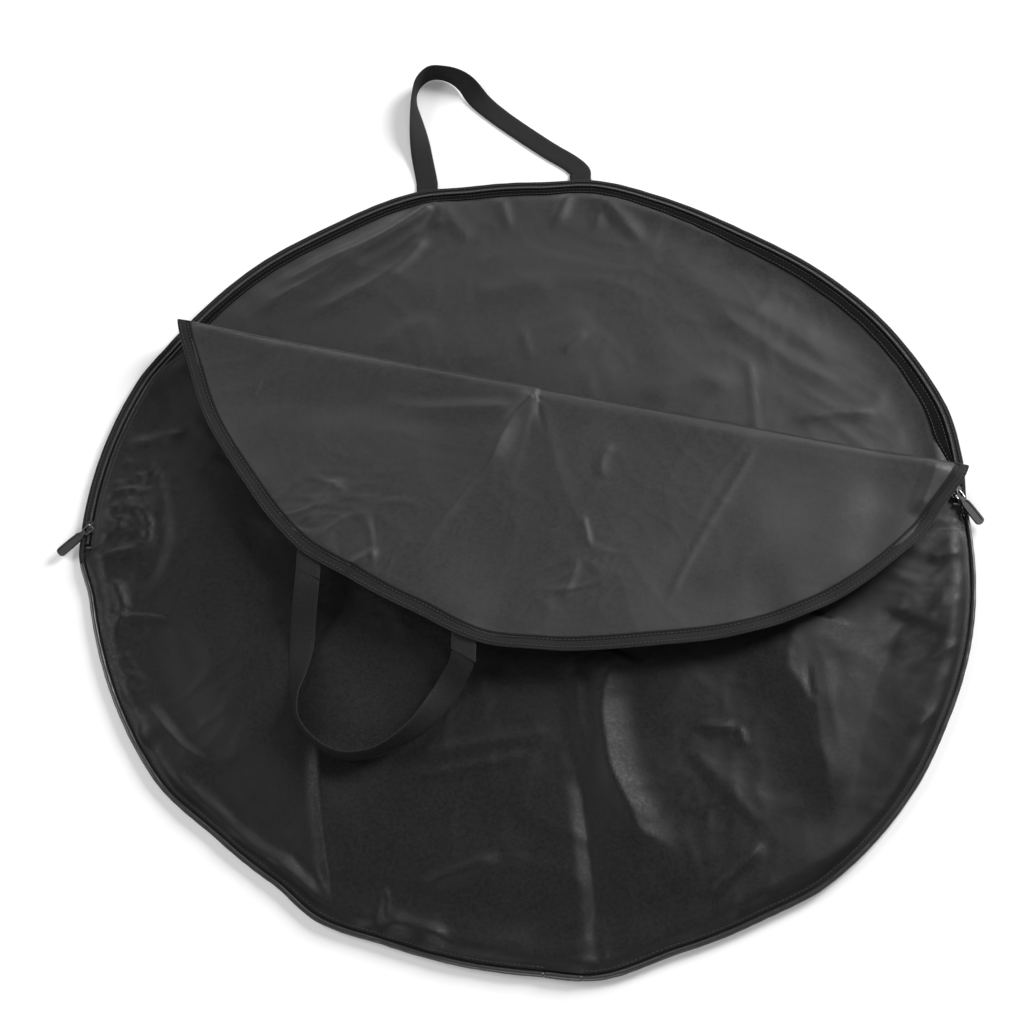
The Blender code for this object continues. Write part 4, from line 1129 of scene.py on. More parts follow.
def map_run(piece: bpy.types.Object, along: Array, across: Array) -> None:
    """Give a piece its map called run.

    Args:
        piece: The piece.
        along: How far along the piece each of its points lies, in metres.
        across: How far across it.
    """
    run = piece.data.uv_layers.new(name="run")
    corner = np.zeros(len(piece.data.loops), np.int32)
    piece.data.loops.foreach_get("vertex_index", corner)
    run.data.foreach_set("uv", np.stack([along[corner], across[corner]], axis=1).astype(np.float32).ravel())


def select_only(piece: bpy.types.Object) -> None:
    """Deselect everything and pick one object."""
    bpy.ops.object.select_all(action="DESELECT")
    piece.select_set(True)
    bpy.context.view_layer.objects.active = piece


def solidify(piece: bpy.types.Object, thickness: float, lower_finish: int = 0) -> None:
    """Give a sheet its thickness, half of it to each side.

    Args:
        piece: The sheet, whose faces point to its top.
        thickness: How thick it becomes.
        lower_finish: The number of the finish on its underside.
    """
    shell = piece.modifiers.new("cloth", "SOLIDIFY")
    shell.thickness = thickness
    shell.offset = 0.0
    shell.material_offset = lower_finish
    shell.material_offset_rim = 0
    select_only(piece)
    bpy.ops.object.modifier_apply(modifier=shell.name)


def give_way(piece: bpy.types.Object) -> None:
    """Give a piece of the back a mesh of its own."""
    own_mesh(piece)


def bend_at_fold(piece: bpy.types.Object) -> None:
    """Bake the transform of a piece that joins the bag and the flap into its mesh."""
    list(FOLD.left)
    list(FOLD.left)
    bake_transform(piece)


def dress(piece: bpy.types.Object, finish: Finish, body: Body | None,
          replaces: Sequence[str] = ()) -> bpy.types.Object:
    """Give a piece its finish, its body and the CAD nodes that it stands for.

    Args:
        piece: The finished piece.
        finish: Its main finish.
        body: The body that it rides on, or None for none.
        replaces: The CAD nodes that it stands for.

    Returns:
        The piece.
    """
    if not piece.data.materials:
        piece.data.materials.append(finish.material)
    if body is not None:
        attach(piece, body.value)
    if replaces:
        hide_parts(*replaces)
    LOG.info("%s: %d faces, %s", piece.name, len(piece.data.polygons), finish.name.lower())
    return piece


@dataclass
class Panel:
    """A panel of cloth as a fine net with a top and an underside."""

    name: str
    spacing: float
    thickness: float
    height: Callable[[Array], Array]
    edge: Callable[[Array], Array]
    top: Finish
    underside: Finish
    snap: float = 0.12

    def net(self) -> tuple[Array, Array]:
        """Return the net's points over the whole outline, and its square faces."""
        count = int(round(2.0 * RIM.radius / self.spacing))
        line = np.linspace(-1.0, 1.0, count + 1)
        across, upwards = np.meshgrid(line, line, indexing="ij")
        round_x = across * np.sqrt(1.0 - upwards ** 2 / 2.0)
        round_y = upwards * np.sqrt(1.0 - across ** 2 / 2.0)
        flat = np.stack([round_x.ravel(), round_y.ravel()], axis=1)
        angle = RIM.angle(flat)
        flat = flat * (RIM.reach(angle) - self.edge(angle))[:, None]
        return flat, grid(count + 1, count + 1)[:, [0, 3, 2, 1]]

    def cut(self, flat: Array, faces: Array, keep_above: bool) -> tuple[Array, list[list[int]]]:
        """Cut the net along the fold line.

        Args:
            flat: The net's points.
            faces: Its faces.
            keep_above: Whether the part beyond the fold line is kept.

        Returns:
            The points and faces of the part that is kept.
        """
        shape = bmesh.new()
        verts = [shape.verts.new((x, y, 0.0)) for x, y in flat]
        for face in faces:
            shape.faces.new([verts[index] for index in face])
        normal = Vector((*FOLD.across, 0.0)) * (-1.0 if keep_above else 1.0)
        geometry = shape.verts[:] + shape.edges[:] + shape.faces[:]
        bmesh.ops.bisect_plane(shape, geom=geometry, dist=self.spacing * self.snap, plane_co=(*FOLD.left, 0.0),
                               plane_no=normal, clear_outer=True)
        shape.verts.index_update()
        points = np.array([vert.co[:2] for vert in shape.verts])
        kept = [[vert.index for vert in face.verts] for face in shape.faces]
        shape.free()
        return points, kept

    def build(self, cut_above: bool | None = None, fold: bool = False) -> bpy.types.Object:
        """Make the panel.

        Args:
            cut_above: Whether the part beyond the fold is kept, or None for the whole panel.
            fold: Whether the panel is then folded over the line.

        Returns:
            The panel, with its own thickness.
        """
        flat, faces = self.net()
        if cut_above is not None:
            flat, faces = self.cut(flat, faces, cut_above)
        if fold:
            flat = FOLD.turned(flat)
            faces = [list(reversed(face)) for face in faces]
        points = np.column_stack([flat, self.height(flat)])
        piece = new_mesh(self.name, points, faces)
        return thicken(piece, self.thickness, self.top, self.underside)


def thicken(piece: bpy.types.Object, thickness: float, top: Finish, underside: Finish) -> bpy.types.Object:
    """Give a sheet its thickness, with one finish above and at the cut edges, and one below.

    Args:
        piece: The sheet, whose faces point to its top.
        thickness: How thick the cloth is.
        top: The finish above and at the cut edges.
        underside: The finish below.

    Returns:
        The same object.
    """
    piece.data.materials.append(top.material)
    piece.data.materials.append(underside.material)
    solidify(piece, thickness, 1)
    piece.data.set_sharp_from_angle(angle=math.radians(SHARP_EDGE))
    return piece


@dataclass
class ClothPanels:
    """The bag's two panels, the folded flap and the roll of cloth between them."""

    thickness: float = 0.0008
    front_spacing: float = 0.0028
    flap_spacing: float = 0.0020
    back_spacing: float = 0.0036
    roll_steps: int = 14
    roll_spacing: float = 0.0024

    def build(self) -> None:
        back = Panel("back_cloth", self.back_spacing, self.thickness, BACK.height, BACK.edge,
                     Finish.INSIDE, Finish.OUTSIDE).build()
        dress(back, Finish.INSIDE, Body.BAG, ["back_panel"])
        give_way(back)
        front = Panel("front_cloth", self.front_spacing, self.thickness, FRONT.height, FRONT.edge,
                      Finish.OUTSIDE, Finish.INSIDE).build(cut_above=False)
        dress(front, Finish.OUTSIDE, Body.BAG, ["front_panel"])
        flap = Panel("flap_cloth", self.flap_spacing, self.thickness, FLAP.height, FLAP.edge,
                     Finish.INSIDE, Finish.OUTSIDE).build(cut_above=True, fold=True)
        dress(flap, Finish.INSIDE, Body.FLAP, ["front_flap"])
        self.roll()

    def roll(self) -> None:
        """Make the cloth that rolls over the fold, joined to both panels' edges."""
        tips = [fold_reach(FLAP.edge_inset, True), fold_reach(FLAP.edge_inset - FLAP.tip_spread, False)]
        count = int((tips[1] - tips[0]) / self.roll_spacing)
        piece = roll_strip("fold_cloth", tips[0], tips[1], count, self.roll_steps, fold_ends)
        thicken(piece, self.thickness, Finish.INSIDE, Finish.OUTSIDE)
        bend_at_fold(piece)
        dress(piece, Finish.INSIDE, None, ["fold_roll"])


def fold_reach(wanted: float, from_left: bool, samples: int = 4000) -> float:
    """Return the distance along the fold line where it is a given depth inside the rim."""
    along = np.linspace(0.0, FOLD.length / 2.0, samples)
    if not from_left:
        along = FOLD.length - along
    return float(along[np.argmax(RIM.inset(FOLD.on_line(along)) >= wanted)])


def fold_ends(along: Array) -> tuple[Array, Array]:
    """Return the heights of the front and the flap at the fold line."""
    flat = FOLD.on_line(along)
    return FRONT.height(flat), FLAP.height(flat)


def roll_strip(name: str, start: float, stop: float, count: int, steps: int,
               ends: Callable[[Array], tuple[Array, Array]]) -> bpy.types.Object:
    """Make a sheet that rolls over the fold line.

    Args:
        name: The piece's name.
        start: Where it starts along the line.
        stop: Where it stops.
        count: How many faces it has along the line.
        steps: How many it has around the roll.
        ends: Gives the lower and upper heights along the line.

    Returns:
        The sheet, with its faces outwards.
    """
    along = np.linspace(start, stop, count + 1)
    low, high = ends(along)
    turn = np.pi * (np.linspace(0.0, 1.0, steps + 1) - 0.5)
    ripple = 1.0 + 0.12 * swell(np.stack([along, 0.0 * along], axis=1), 0.06, 61)
    beyond = np.multiply.outer(FOLD.bulge * ripple, np.cos(turn))
    middle = (low + high) / 2.0
    rise = middle[:, None] + np.multiply.outer((high - low) / 2.0, np.sin(turn))
    flat = FOLD.left + along[:, None, None] * FOLD.along + beyond[..., None] * FOLD.across
    points = np.concatenate([flat, rise[..., None]], axis=-1).reshape(-1, 3)
    return new_mesh(name, points, grid(count + 1, steps + 1)[:, ::-1])


def sweep(name: str, path: Array, side: Array, section: Array, scale: Array | None = None,
          slant: Array | None = None) -> bpy.types.Object:
    """Draw a section along a path, with both ends capped.

    Args:
        name: The piece's name.
        path: The path's points.
        side: The section's first direction, one for all points or one at each.
        section: The section's points, by the first direction and the one across it.
        scale: How much wider or narrower the section is at each point.
        slant: How far the section leans along the path, for each metre across it.

    Returns:
        The piece, with a map called run: metres along it and around its section.
    """
    ahead = unit(np.gradient(path, axis=0))
    side = unit(side - (side * ahead).sum(1, keepdims=True) * ahead)
    up = np.cross(ahead, side)
    side = side if slant is None else side + ahead * slant[:, None]
    scale = np.ones(len(path)) if scale is None else scale
    spokes = side[:, None] * section[None, :, :1] + up[:, None] * section[None, :, 1:]
    rings = path[:, None] + spokes * scale[:, None, None]
    count, around = len(path), len(section)
    first = list(range(around))
    last = [(count - 1) * around + index for index in first]
    faces = grid(count, around, True)[:, ::-1].tolist() + [first, last[::-1]]
    piece = new_mesh(name, rings.reshape(-1, 3), faces)
    across = section[:, 0] - section[:, 0].min()
    map_run(piece, np.repeat(travelled(path), around), np.tile(across, count))
    if signed_volume(piece) < 0.0:
        piece.data.flip_normals()
    return piece


def signed_volume(piece: bpy.types.Object) -> float:
    """Return a closed piece's volume, below zero where it is inside out."""
    mesh = piece.data
    mesh.calc_loop_triangles()
    corners = np.zeros(len(mesh.loop_triangles) * 3, np.int32)
    mesh.loop_triangles.foreach_get("vertices", corners)
    points = np.zeros(len(mesh.vertices) * 3)
    mesh.vertices.foreach_get("co", points)
    first, second, third = points.reshape(-1, 3)[corners].reshape(-1, 3, 3).transpose(1, 0, 2)
    return float((first * np.cross(second, third)).sum() / 6.0)


def flat_section(width: float, thickness: float, round_steps: int = 3, flat_points: int = 5) -> Array:
    """Return the section of a flat strap with rounded edges, from edge to edge."""
    radius = thickness / 2.0
    turns = [math.radians(turn) for turn in np.linspace(-90.0, 90.0, round_steps + 1)]
    right = [(width / 2 - radius + radius * math.cos(turn), radius * math.sin(turn)) for turn in turns]
    inner = np.linspace(0.5, -0.5, flat_points + 2)[1:-1]
    top = [(x * (width - 2 * radius), radius) for x in inner]
    left = [(-x, -y) for x, y in right]
    low = [(x * (width - 2 * radius), -radius) for x in inner[::-1]]
    return np.array(right + top + left + low)


def round_section(diameter: float, steps: int) -> Array:
    """Return a round section."""
    turn = np.linspace(0.0, math.tau, steps, endpoint=False)
    return np.stack([np.cos(turn), np.sin(turn)], axis=1) * diameter / 2.0


def tile(name: str, unit_piece: bpy.types.Object, places: Array, ahead: Array, up: Array) -> bpy.types.Object:
    """Repeat a small shape along a line as one piece.

    Args:
        name: The piece's name.
        unit_piece: The small shape, whose length lies along X and height along Z; it is removed.
        places: Where the copies go.
        ahead: The direction of each copy's length.
        up: The direction of the copies' height, one for all or one for each.

    Returns:
        The piece with all copies.
    """
    mesh = unit_piece.data
    count = len(mesh.vertices)
    shape = np.zeros(count * 3)
    mesh.vertices.foreach_get("co", shape)
    shape = shape.reshape(-1, 3)
    ahead = unit(ahead)
    side = unit(np.cross(up, ahead))
    above = np.cross(ahead, side)
    axes = np.stack([ahead, side, above], axis=1)
    points = (places[:, None] + np.einsum("vk,nkc->nvc", shape, axes)).reshape(-1, 3)
    polygons = [list(face.vertices) for face in mesh.polygons]
    faces = [[index * count + corner for corner in face] for index in range(len(places)) for face in polygons]
    bpy.data.objects.remove(unit_piece, do_unlink=True)
    return new_mesh(name, points, faces)


def small_rod(radius: float, length: float, inset: float, depth: float,
              cut_at: float | None = None) -> bpy.types.Object:
    """Model a short six-sided rod along Z, whose ends are drawn out to smaller faces.

    Args:
        radius: The rod's radius.
        length: Its length without the ends.
        inset: How much smaller the ends' faces are, all round.
        depth: How far they are drawn out.
        cut_at: The height of one more ring of edges, or None for none.

    Returns:
        The rod.
    """
    bpy.ops.object.select_all(action="DESELECT")
    bpy.ops.mesh.primitive_cylinder_add(vertices=6, radius=radius, depth=length, end_fill_type="NGON")
    rod = bpy.context.active_object
    bpy.ops.object.mode_set(mode="EDIT")
    if cut_at is not None:
        bpy.ops.mesh.select_all(action="SELECT")
        bpy.ops.mesh.bisect(plane_co=(0.0, 0.0, cut_at), plane_no=(0.0, 0.0, 1.0))
    bpy.ops.mesh.select_all(action="DESELECT")
    shape = bmesh.from_edit_mesh(rod.data)
    for face in shape.faces:
        face.select = abs(face.normal.z) > 0.9
    bmesh.update_edit_mesh(rod.data)
    bpy.ops.mesh.inset(thickness=inset, depth=depth, use_individual=True)
    bpy.ops.object.mode_set(mode="OBJECT")
    return rod


def small_stitch(length: float, thickness: float) -> bpy.types.Object:
    """Model one stitch: a short thread with rounded ends."""
    stitch = small_rod(thickness / 2, length * 0.55, thickness * 0.22, length * 0.2)
    stitch.data.transform(Matrix.Rotation(math.pi / 2.0, 4, "Y"))
    stitch.data.transform(Matrix.Diagonal((1.0, 1.0, 0.8, 1.0)))
    return stitch


def small_tooth(width: float, height: float, pitch: float) -> bpy.types.Object:
    """Model one turn of a zip's coil: a rounded bridge across the tape."""
    tooth = small_rod(pitch * 0.40, width, pitch * 0.14, pitch * 0.1, width * 0.2)
    tooth.data.transform(Matrix.Rotation(-math.pi / 2.0, 4, "X"))
    tooth.data.transform(Matrix.Diagonal((1.0, 1.0, height / (pitch * 0.80), 1.0)))
    return tooth


def row_along(path: Array, pitch: float) -> tuple[Array, Array]:
    """Return evenly spaced places on a path and their directions."""
    travel = travelled(path)
    wanted = np.arange(pitch / 2.0, travel[-1], pitch)
    columns = (path.T, np.gradient(path, axis=0).T)
    places, headings = (np.stack([np.interp(wanted, travel, column) for column in rows], axis=1)
                        for rows in columns)
    return places, headings


@dataclass
class Seam:
    """A row of stitches."""

    pitch: float = 0.0034
    length: float = 0.0026
    thickness: float = 0.0007

    def row(self, name: str, path: Array, body: Body) -> bpy.types.Object:
        """Sew a row along a path.

        Args:
            name: The piece's name.
            path: The row's path, on the cloth.
            body: The body that it rides on.

        Returns:
            The row.
        """
        places, headings = row_along(path, self.pitch)
        piece = tile(name, small_stitch(self.length, self.thickness), places, headings, UP)
        return dress(piece, Finish.THREAD, body)


def on_bag(angle: Array, inset: Array | float, height: Callable[[Array], Array] | float, lift: float = 0.0) -> Array:
    """Return points on the bag by direction and inset, at a height or on a surface."""
    flat = RIM.point(angle, inset)
    rise = height(flat) if callable(height) else np.full(len(flat), height)
    return np.column_stack([flat, rise + lift])


def on_flap(angle: Array, inset: Array | float, lift: float = 0.0) -> Array:
    """Return points on the folded flap by their direction and inset in the closed bag."""
    flat = FOLD.turned(RIM.point(angle, inset))
    return np.column_stack([flat, FLAP.height(flat) + lift])


def cut_at_fold(piece: bpy.types.Object) -> None:
    """Cut a piece off along the fold line and keep its lower part."""
    select_only(piece)
    bpy.ops.object.mode_set(mode="EDIT")
    bpy.ops.mesh.select_all(action="SELECT")
    bpy.ops.mesh.bisect(plane_co=(*FOLD.left, 0.0), plane_no=(*FOLD.across, 0.0), use_fill=True, clear_outer=True)
    bpy.ops.object.mode_set(mode="OBJECT")


def lay_tape(name: str, outer: Array, inner: Array, thickness: float, cells: int = 4, dip: float = 0.0,
             dip_place: Span = (0.76, 0.13)) -> bpy.types.Object:
    """Make a tape between two edges.

    Args:
        name: The piece's name.
        outer: The points of one edge.
        inner: The points of the other edge.
        thickness: How thick the tape is.
        cells: How many faces lie across it.
        dip: How far its stitched line is sunk.
        dip_place: The line's place and width, as shares of the tape's width.

    Returns:
        The tape, with its map called run.
    """
    count = len(outer)
    share = np.linspace(0.0, 1.0, cells + 1)
    points = outer[:, None] * (1.0 - share[:, None]) + inner[:, None] * share[:, None]
    points[..., 2] -= dip * bell(share, *dip_place)
    piece = new_mesh(name, points.reshape(-1, 3), grid(count, cells + 1))
    if piece.data.polygons[0].normal.z < 0.0:
        piece.data.flip_normals()
    width = float(np.linalg.norm(outer[count // 2] - inner[count // 2]))
    across = np.arange(cells + 1) / cells * width
    map_run(piece, np.repeat(travelled(outer), cells + 1), np.tile(across, count))
    solidify(piece, thickness)
    piece.data.set_sharp_from_angle(angle=math.radians(SHARP_EDGE))
    return piece


@dataclass
class RimEdging:
    """The binding round the zipped part of the rim and the piping round the rest."""

    left_change: float = 184.5
    right_change: float = 2.6
    gap: float = 0.06
    binding_diameter: float = 0.0034
    binding_wave: float = 0.00012
    binding_upper: ClassVar[tuple[tuple[float, float], ...]] = (
        (0.86, 0.55), (0.35, 0.9), (-0.5, 0.95), (-1.25, 0.62), (-1.30, 0.30),
    )
    binding_slit: float = -0.9
    piping_diameter: float = 0.0040
    piping_wave: float = 0.00015
    piping_sides: int = 12
    flange_thickness: float = 0.0006
    overlap_diameter: float = 0.0046
    overlap_sides: int = 14
    overlap_angle: float = 273.0
    overlap_length: float = 0.024
    sleeve: float = 0.25
    ring_low: float = 0.0018
    step: float = 0.5
    seam: Seam = field(default_factory=Seam)

    def build(self) -> None:
        """Make and dress the edging."""
        self.binding(self.right_change + self.gap, self.left_change - self.gap)
        half = math.degrees(self.overlap_length / RIM.radius) / 2.0
        start, stop = self.overlap_angle - half, self.overlap_angle + half
        self.piping("piping_left", self.left_change + self.gap, start - self.gap, ["rim_piping_left"])
        self.piping("piping_right", stop + self.gap, 360.0 + self.right_change - self.gap, ["rim_piping_right"])
        self.overlap(start - self.sleeve, stop + self.sleeve)

    def binding_section(self) -> Array:
        """Return the binding's section: a folded tape, closed round the rim and slit at its inner edge."""
        lower = [(out, -up) for out, up in reversed(self.binding_upper)]
        shares = [(1.0, 0.0), *self.binding_upper, (self.binding_slit, 0.0), *lower]
        return self.binding_diameter / 2.0 * np.array(shares)

    def binding(self, start: float, stop: float) -> None:
        """Make the folded tape that binds the zipped part of the rim."""
        angle = np.arange(start, stop, self.step / 2.0)
        turn = np.radians(angle)
        path = on_bag(angle, self.binding_diameter / 2.0, self.ring_low + self.binding_diameter / 2.0)
        path[:, 2] += self.binding_wave * np.sin(turn * 83.0 + 2.0 * np.sin(turn * 19.0))
        piece = sweep("rim_binding_tape", path, RIM.outwards(angle), self.binding_section())
        dress(piece, Finish.BINDING, Body.BAG, ["rim_binding"])
        edge = on_bag(angle, self.binding_diameter * 0.86, self.ring_low + self.binding_diameter * 0.99)
        self.seam.row("binding_stitches", edge, Body.BAG)

    def piping(self, name: str, start: float, stop: float, nodes: Sequence[str]) -> None:
        """Make one run of piping: the cord and the flange by which it is sewn in."""
        angle = np.arange(start, stop, self.step / 2.0)
        turn = np.radians(angle)
        path = on_bag(angle, self.piping_diameter / 2.0, self.ring_low + self.piping_diameter / 2.0)
        pinch = 1.0 + 0.035 * np.sin(turn * 141.0 + 2.5 * np.sin(turn * 23.0)) + 0.025 * np.sin(turn * 57.0)
        path[:, 2] += self.piping_wave * np.sin(turn * 49.0)
        section = round_section(self.piping_diameter, self.piping_sides)
        dress(sweep(name, path, RIM.outwards(angle), section, pinch), Finish.PIPING, Body.BAG, nodes)
        outer = on_bag(angle, self.piping_diameter * 0.86, self.ring_low + self.piping_diameter * 0.42)
        inner = on_bag(angle, self.piping_diameter * 1.9, self.ring_low + self.piping_diameter * 0.36)
        dress(lay_tape(name + "_flange", outer, inner, self.flange_thickness, 3), Finish.OUTSIDE, Body.BAG)
        seam = on_bag(angle, FRONT.piping_inset + 0.0016, FRONT.height, 0.0005)
        self.seam.row(name + "_stitches", seam, Body.BAG)

    def overlap(self, start: float, stop: float) -> None:
        """Make the overlap of the piping's two ends."""
        angle = np.arange(start, stop, self.step / 4.0)
        share = np.linspace(0.0, 1.0, len(angle))
        path = on_bag(angle, self.piping_diameter / 2.0, self.ring_low + self.overlap_diameter / 2.0)
        scale = 0.90 + 0.10 * ease(np.minimum(share, 1.0 - share) / 0.12) + 0.02 * np.sin(share * 41.0)
        section = round_section(self.overlap_diameter, self.overlap_sides)
        piece = sweep("piping_overlap", path, RIM.outwards(angle), section, scale)
        dress(piece, Finish.PIPING, Body.BAG, ["piping_joint"])


@dataclass
class ZipRun:
    """The open zip: its tapes, coils and stitch rows on the back, the left side and the flap."""

    left_end: float = 182.2
    right_end: float = 4.4
    tape_low: float = 0.0039
    tape_thickness: float = 0.0005
    coil_height: float = 0.0010
    coil_width: float = 0.0014
    coil_pitch: float = 0.0016
    coil_lift: float = 0.0003
    left_coil_lift: float = 0.0005
    back_insets: tuple[float, float] = (0.0037, 0.0078)
    back_row_inset: float = 0.0019
    front_insets: tuple[float, float] = (0.0102, 0.0220)
    left_row_inset: float = 0.0026
    tape_rise: float = 0.00035
    tape_slope: float = 0.0004
    dip: float = 0.0004
    flap_rows: ClassVar[tuple[tuple[float, float], ...]] = ((0.0126, 0.0008), (0.0191, 0.0006))
    flap_coil_drop: float = 0.0006
    tape_margin: float = 0.0003
    tape_overrun: float = 0.004
    angle_overrun: float = 8.0
    coil_margin: float = 0.001
    row_margin: float = 0.002
    tip_leans: tuple[float, float] = (-0.0045, FLAP.tip_spread)
    lean_depth: float = 0.05
    facing_span: tuple[float, float] = (8.6, 149.5)
    facing_width: float = 0.0122
    facing_least: float = 0.0006
    facing_thickness: float = 0.0006
    facing_narrowing: float = 0.55
    facing_narrows: Span = (50.0, 40.0)
    facing_rows: tuple[float, float] = (0.18, 0.86)
    step: float = 0.35
    seam: Seam = field(default_factory=Seam)

    @property
    def tape_level(self) -> float:
        """Return the height of a level tape's middle layer."""
        return self.tape_low + self.tape_thickness / 2.0

    def build(self) -> None:
        """Make and dress every part of the zip but its sliders."""
        self.back()
        self.facing()
        self.left_side()
        self.flap()
        self.fold_tapes()
        for name in ("left_end_stop", "right_end_stop"):
            recolour(name, Finish.COIL)

    def back(self) -> None:
        """Make the tape and coil sewn to the back panel."""
        angle = np.arange(self.right_end, self.left_end, self.step)
        outer, inner = (on_bag(angle, inset, self.tape_level) for inset in self.back_insets)
        tape = lay_tape("back_tape", outer, inner, self.tape_thickness)
        dress(tape, Finish.TAPE, Body.BAG, ["back_zip_tape"])
        middle = self.back_insets[1] - self.coil_width / 2.0
        top = self.tape_low + self.tape_thickness
        path = on_bag(angle, middle, top + self.coil_lift + self.coil_height / 2.0)
        self.coil("back_coil", path, 1.0, Body.BAG, ["back_zip_coil"])
        row = on_bag(angle, self.back_insets[0] + self.back_row_inset, top + 0.0001)
        self.seam.row("back_tape_stitches", row, Body.BAG)

    def facing(self) -> None:
        """Make the band that faces the seam inside the upper right of the rim."""
        first, last = self.facing_span
        angle = np.arange(first, last, self.step * 2.0)
        share = (angle - first) / (last - first)
        narrowed = 1.0 - self.facing_narrowing * past(angle, *self.facing_narrows)
        width = self.facing_width * narrowed * ease(share / 0.05) + self.facing_least
        start = self.back_insets[1] + self.facing_least
        outer = on_bag(angle, start, BACK.height, 0.0010)
        inner = on_bag(angle, start + width, BACK.height, 0.0008)
        band = lay_tape("rim_facing", outer, inner, self.facing_thickness, 6)
        give_way(dress(band, Finish.FACING, Body.BAG))
        for number, place in enumerate(self.facing_rows, 1):
            row = on_bag(angle, start + width * place, BACK.height, 0.0015)
            give_way(self.seam.row("facing_stitches_" + str(number), row, Body.BAG))

    def left_side(self) -> None:
        """Make the tape and coil that run from the left slider up to the fold."""
        angle = np.arange(FOLD.left_angle, self.left_end, self.step)
        outer, inner = (on_bag(angle, inset, self.tape_level) for inset in self.front_insets)
        keep = FOLD.short_of(outer, self.tape_margin) & FOLD.short_of(inner, self.tape_margin)
        tape = lay_tape("left_tape", outer[keep], inner[keep], self.tape_thickness)
        dress(tape, Finish.TAPE, Body.BAG, ["left_side_tape"])
        level = self.tape_level + self.left_coil_lift + self.coil_height / 2.0
        path = on_bag(angle, self.front_insets[0] + self.coil_width / 2.0, level)
        self.coil("left_coil", path[FOLD.short_of(path, self.coil_margin)], -1.0, Body.BAG, ["left_side_coil"])
        row = on_bag(angle, FRONT.edge(angle) + self.left_row_inset, FRONT.height, 0.0005)
        self.seam.row("left_tape_stitches", row[FOLD.short_of(row, self.row_margin)], Body.BAG)

    def flap(self) -> None:
        """Make the tape and coil along the flap's edge, which lies tape upwards."""
        angle = np.arange(0.0, FOLD.left_angle + self.angle_overrun, self.step)
        outer = self.leaned(on_flap(angle, self.front_insets[0], self.tape_rise))
        inner = self.leaned(on_flap(angle, self.front_insets[1], self.tape_rise + self.tape_slope))
        keep = FOLD.short_of(outer, -self.tape_overrun) | FOLD.short_of(inner, -self.tape_overrun)
        tape = lay_tape("flap_tape", outer[keep], inner[keep], self.tape_thickness, 8, self.dip)
        cut_at_fold(tape)
        dress(tape, Finish.TAPE, Body.FLAP, ["flap_zip_tape"])
        path = self.leaned(on_flap(angle, self.front_insets[0] + self.coil_width / 2.0, -self.flap_coil_drop))
        self.coil("flap_coil", path[FOLD.short_of(path, self.coil_margin)], -1.0, Body.FLAP, ["flap_zip_coil"])
        for number, (inset, lift) in enumerate(self.flap_rows, 1):
            row = self.leaned(on_flap(angle, inset, lift))
            self.seam.row("flap_stitches_" + str(number), row[FOLD.short_of(row, self.row_margin)], Body.FLAP)

    def leaned(self, points: Array) -> Array:
        """Return the flap's tape points, moved outwards beside the fold's tips."""
        along, beyond = FOLD.split(points[:, :2])
        lean = np.where(along < FOLD.length / 2.0, *self.tip_leans) * ease(1.0 + beyond / self.lean_depth)
        return points + np.append(FOLD.along, 0.0) * lean[:, None]

    def fold_tapes(self) -> None:
        """Make the tape that turns over the fold at both tips."""
        for side, from_left, lean in (("left", True, self.tip_leans[0]), ("right", False, self.tip_leans[1])):
            ends = sorted(fold_reach(inset, from_left) for inset in self.front_insets)
            piece = roll_strip(side + "_tape_roll", ends[0], ends[1], 10, 12, self.tape_ends)
            solidify(piece, self.tape_thickness)
            places = np.zeros(len(piece.data.vertices) * 3)
            piece.data.vertices.foreach_get("co", places)
            places = places.reshape(-1, 3)
            climbed = ease((places[:, 2] - self.tape_level) / (2.0 * (FOLD.height - self.tape_level)))
            places[:, :2] += lean * climbed[:, None] * FOLD.along
            piece.data.vertices.foreach_set("co", places.ravel())
            along, _ = FOLD.split(places[:, :2])
            map_run(piece, places[:, 2], along - along.min())
            bend_at_fold(piece)
            dress(piece, Finish.TAPE, None, [side + "_fold_tape"])

    def tape_ends(self, along: Array) -> tuple[Array, Array]:
        """Return the heights of the tape below the fold line and of the flap's tape on it."""
        flat = FOLD.on_line(along)
        inner = past(RIM.inset(flat), self.front_insets[0], self.front_insets[1] - self.front_insets[0])
        return np.full_like(along, self.tape_level), FLAP.height(flat) + self.tape_rise + self.tape_slope * inner

    def coil(self, name: str, path: Array, outwards: float, body: Body, nodes: Sequence[str]) -> None:
        """Lay a coil's turns along a path.

        Args:
            name: The piece's name.
            path: The coil's middle line.
            outwards: Which way the teeth's noses point.
            body: The body that it rides on.
            nodes: The CAD nodes that it stands for.
        """
        places, headings = row_along(path, self.coil_pitch)
        tooth = small_tooth(self.coil_width, self.coil_height, self.coil_pitch)
        dress(tile(name, tooth, places, headings, UP * outwards), Finish.COIL, body, nodes)


def recolour(node: str, finish: Finish) -> None:
    """Give a CAD node that keeps its shape a better material."""
    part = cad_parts[node]
    part.data.materials.clear()
    part.data.materials.append(finish.material)
    LOG.info("%s: CAD shape, %s", node, finish.name.lower())


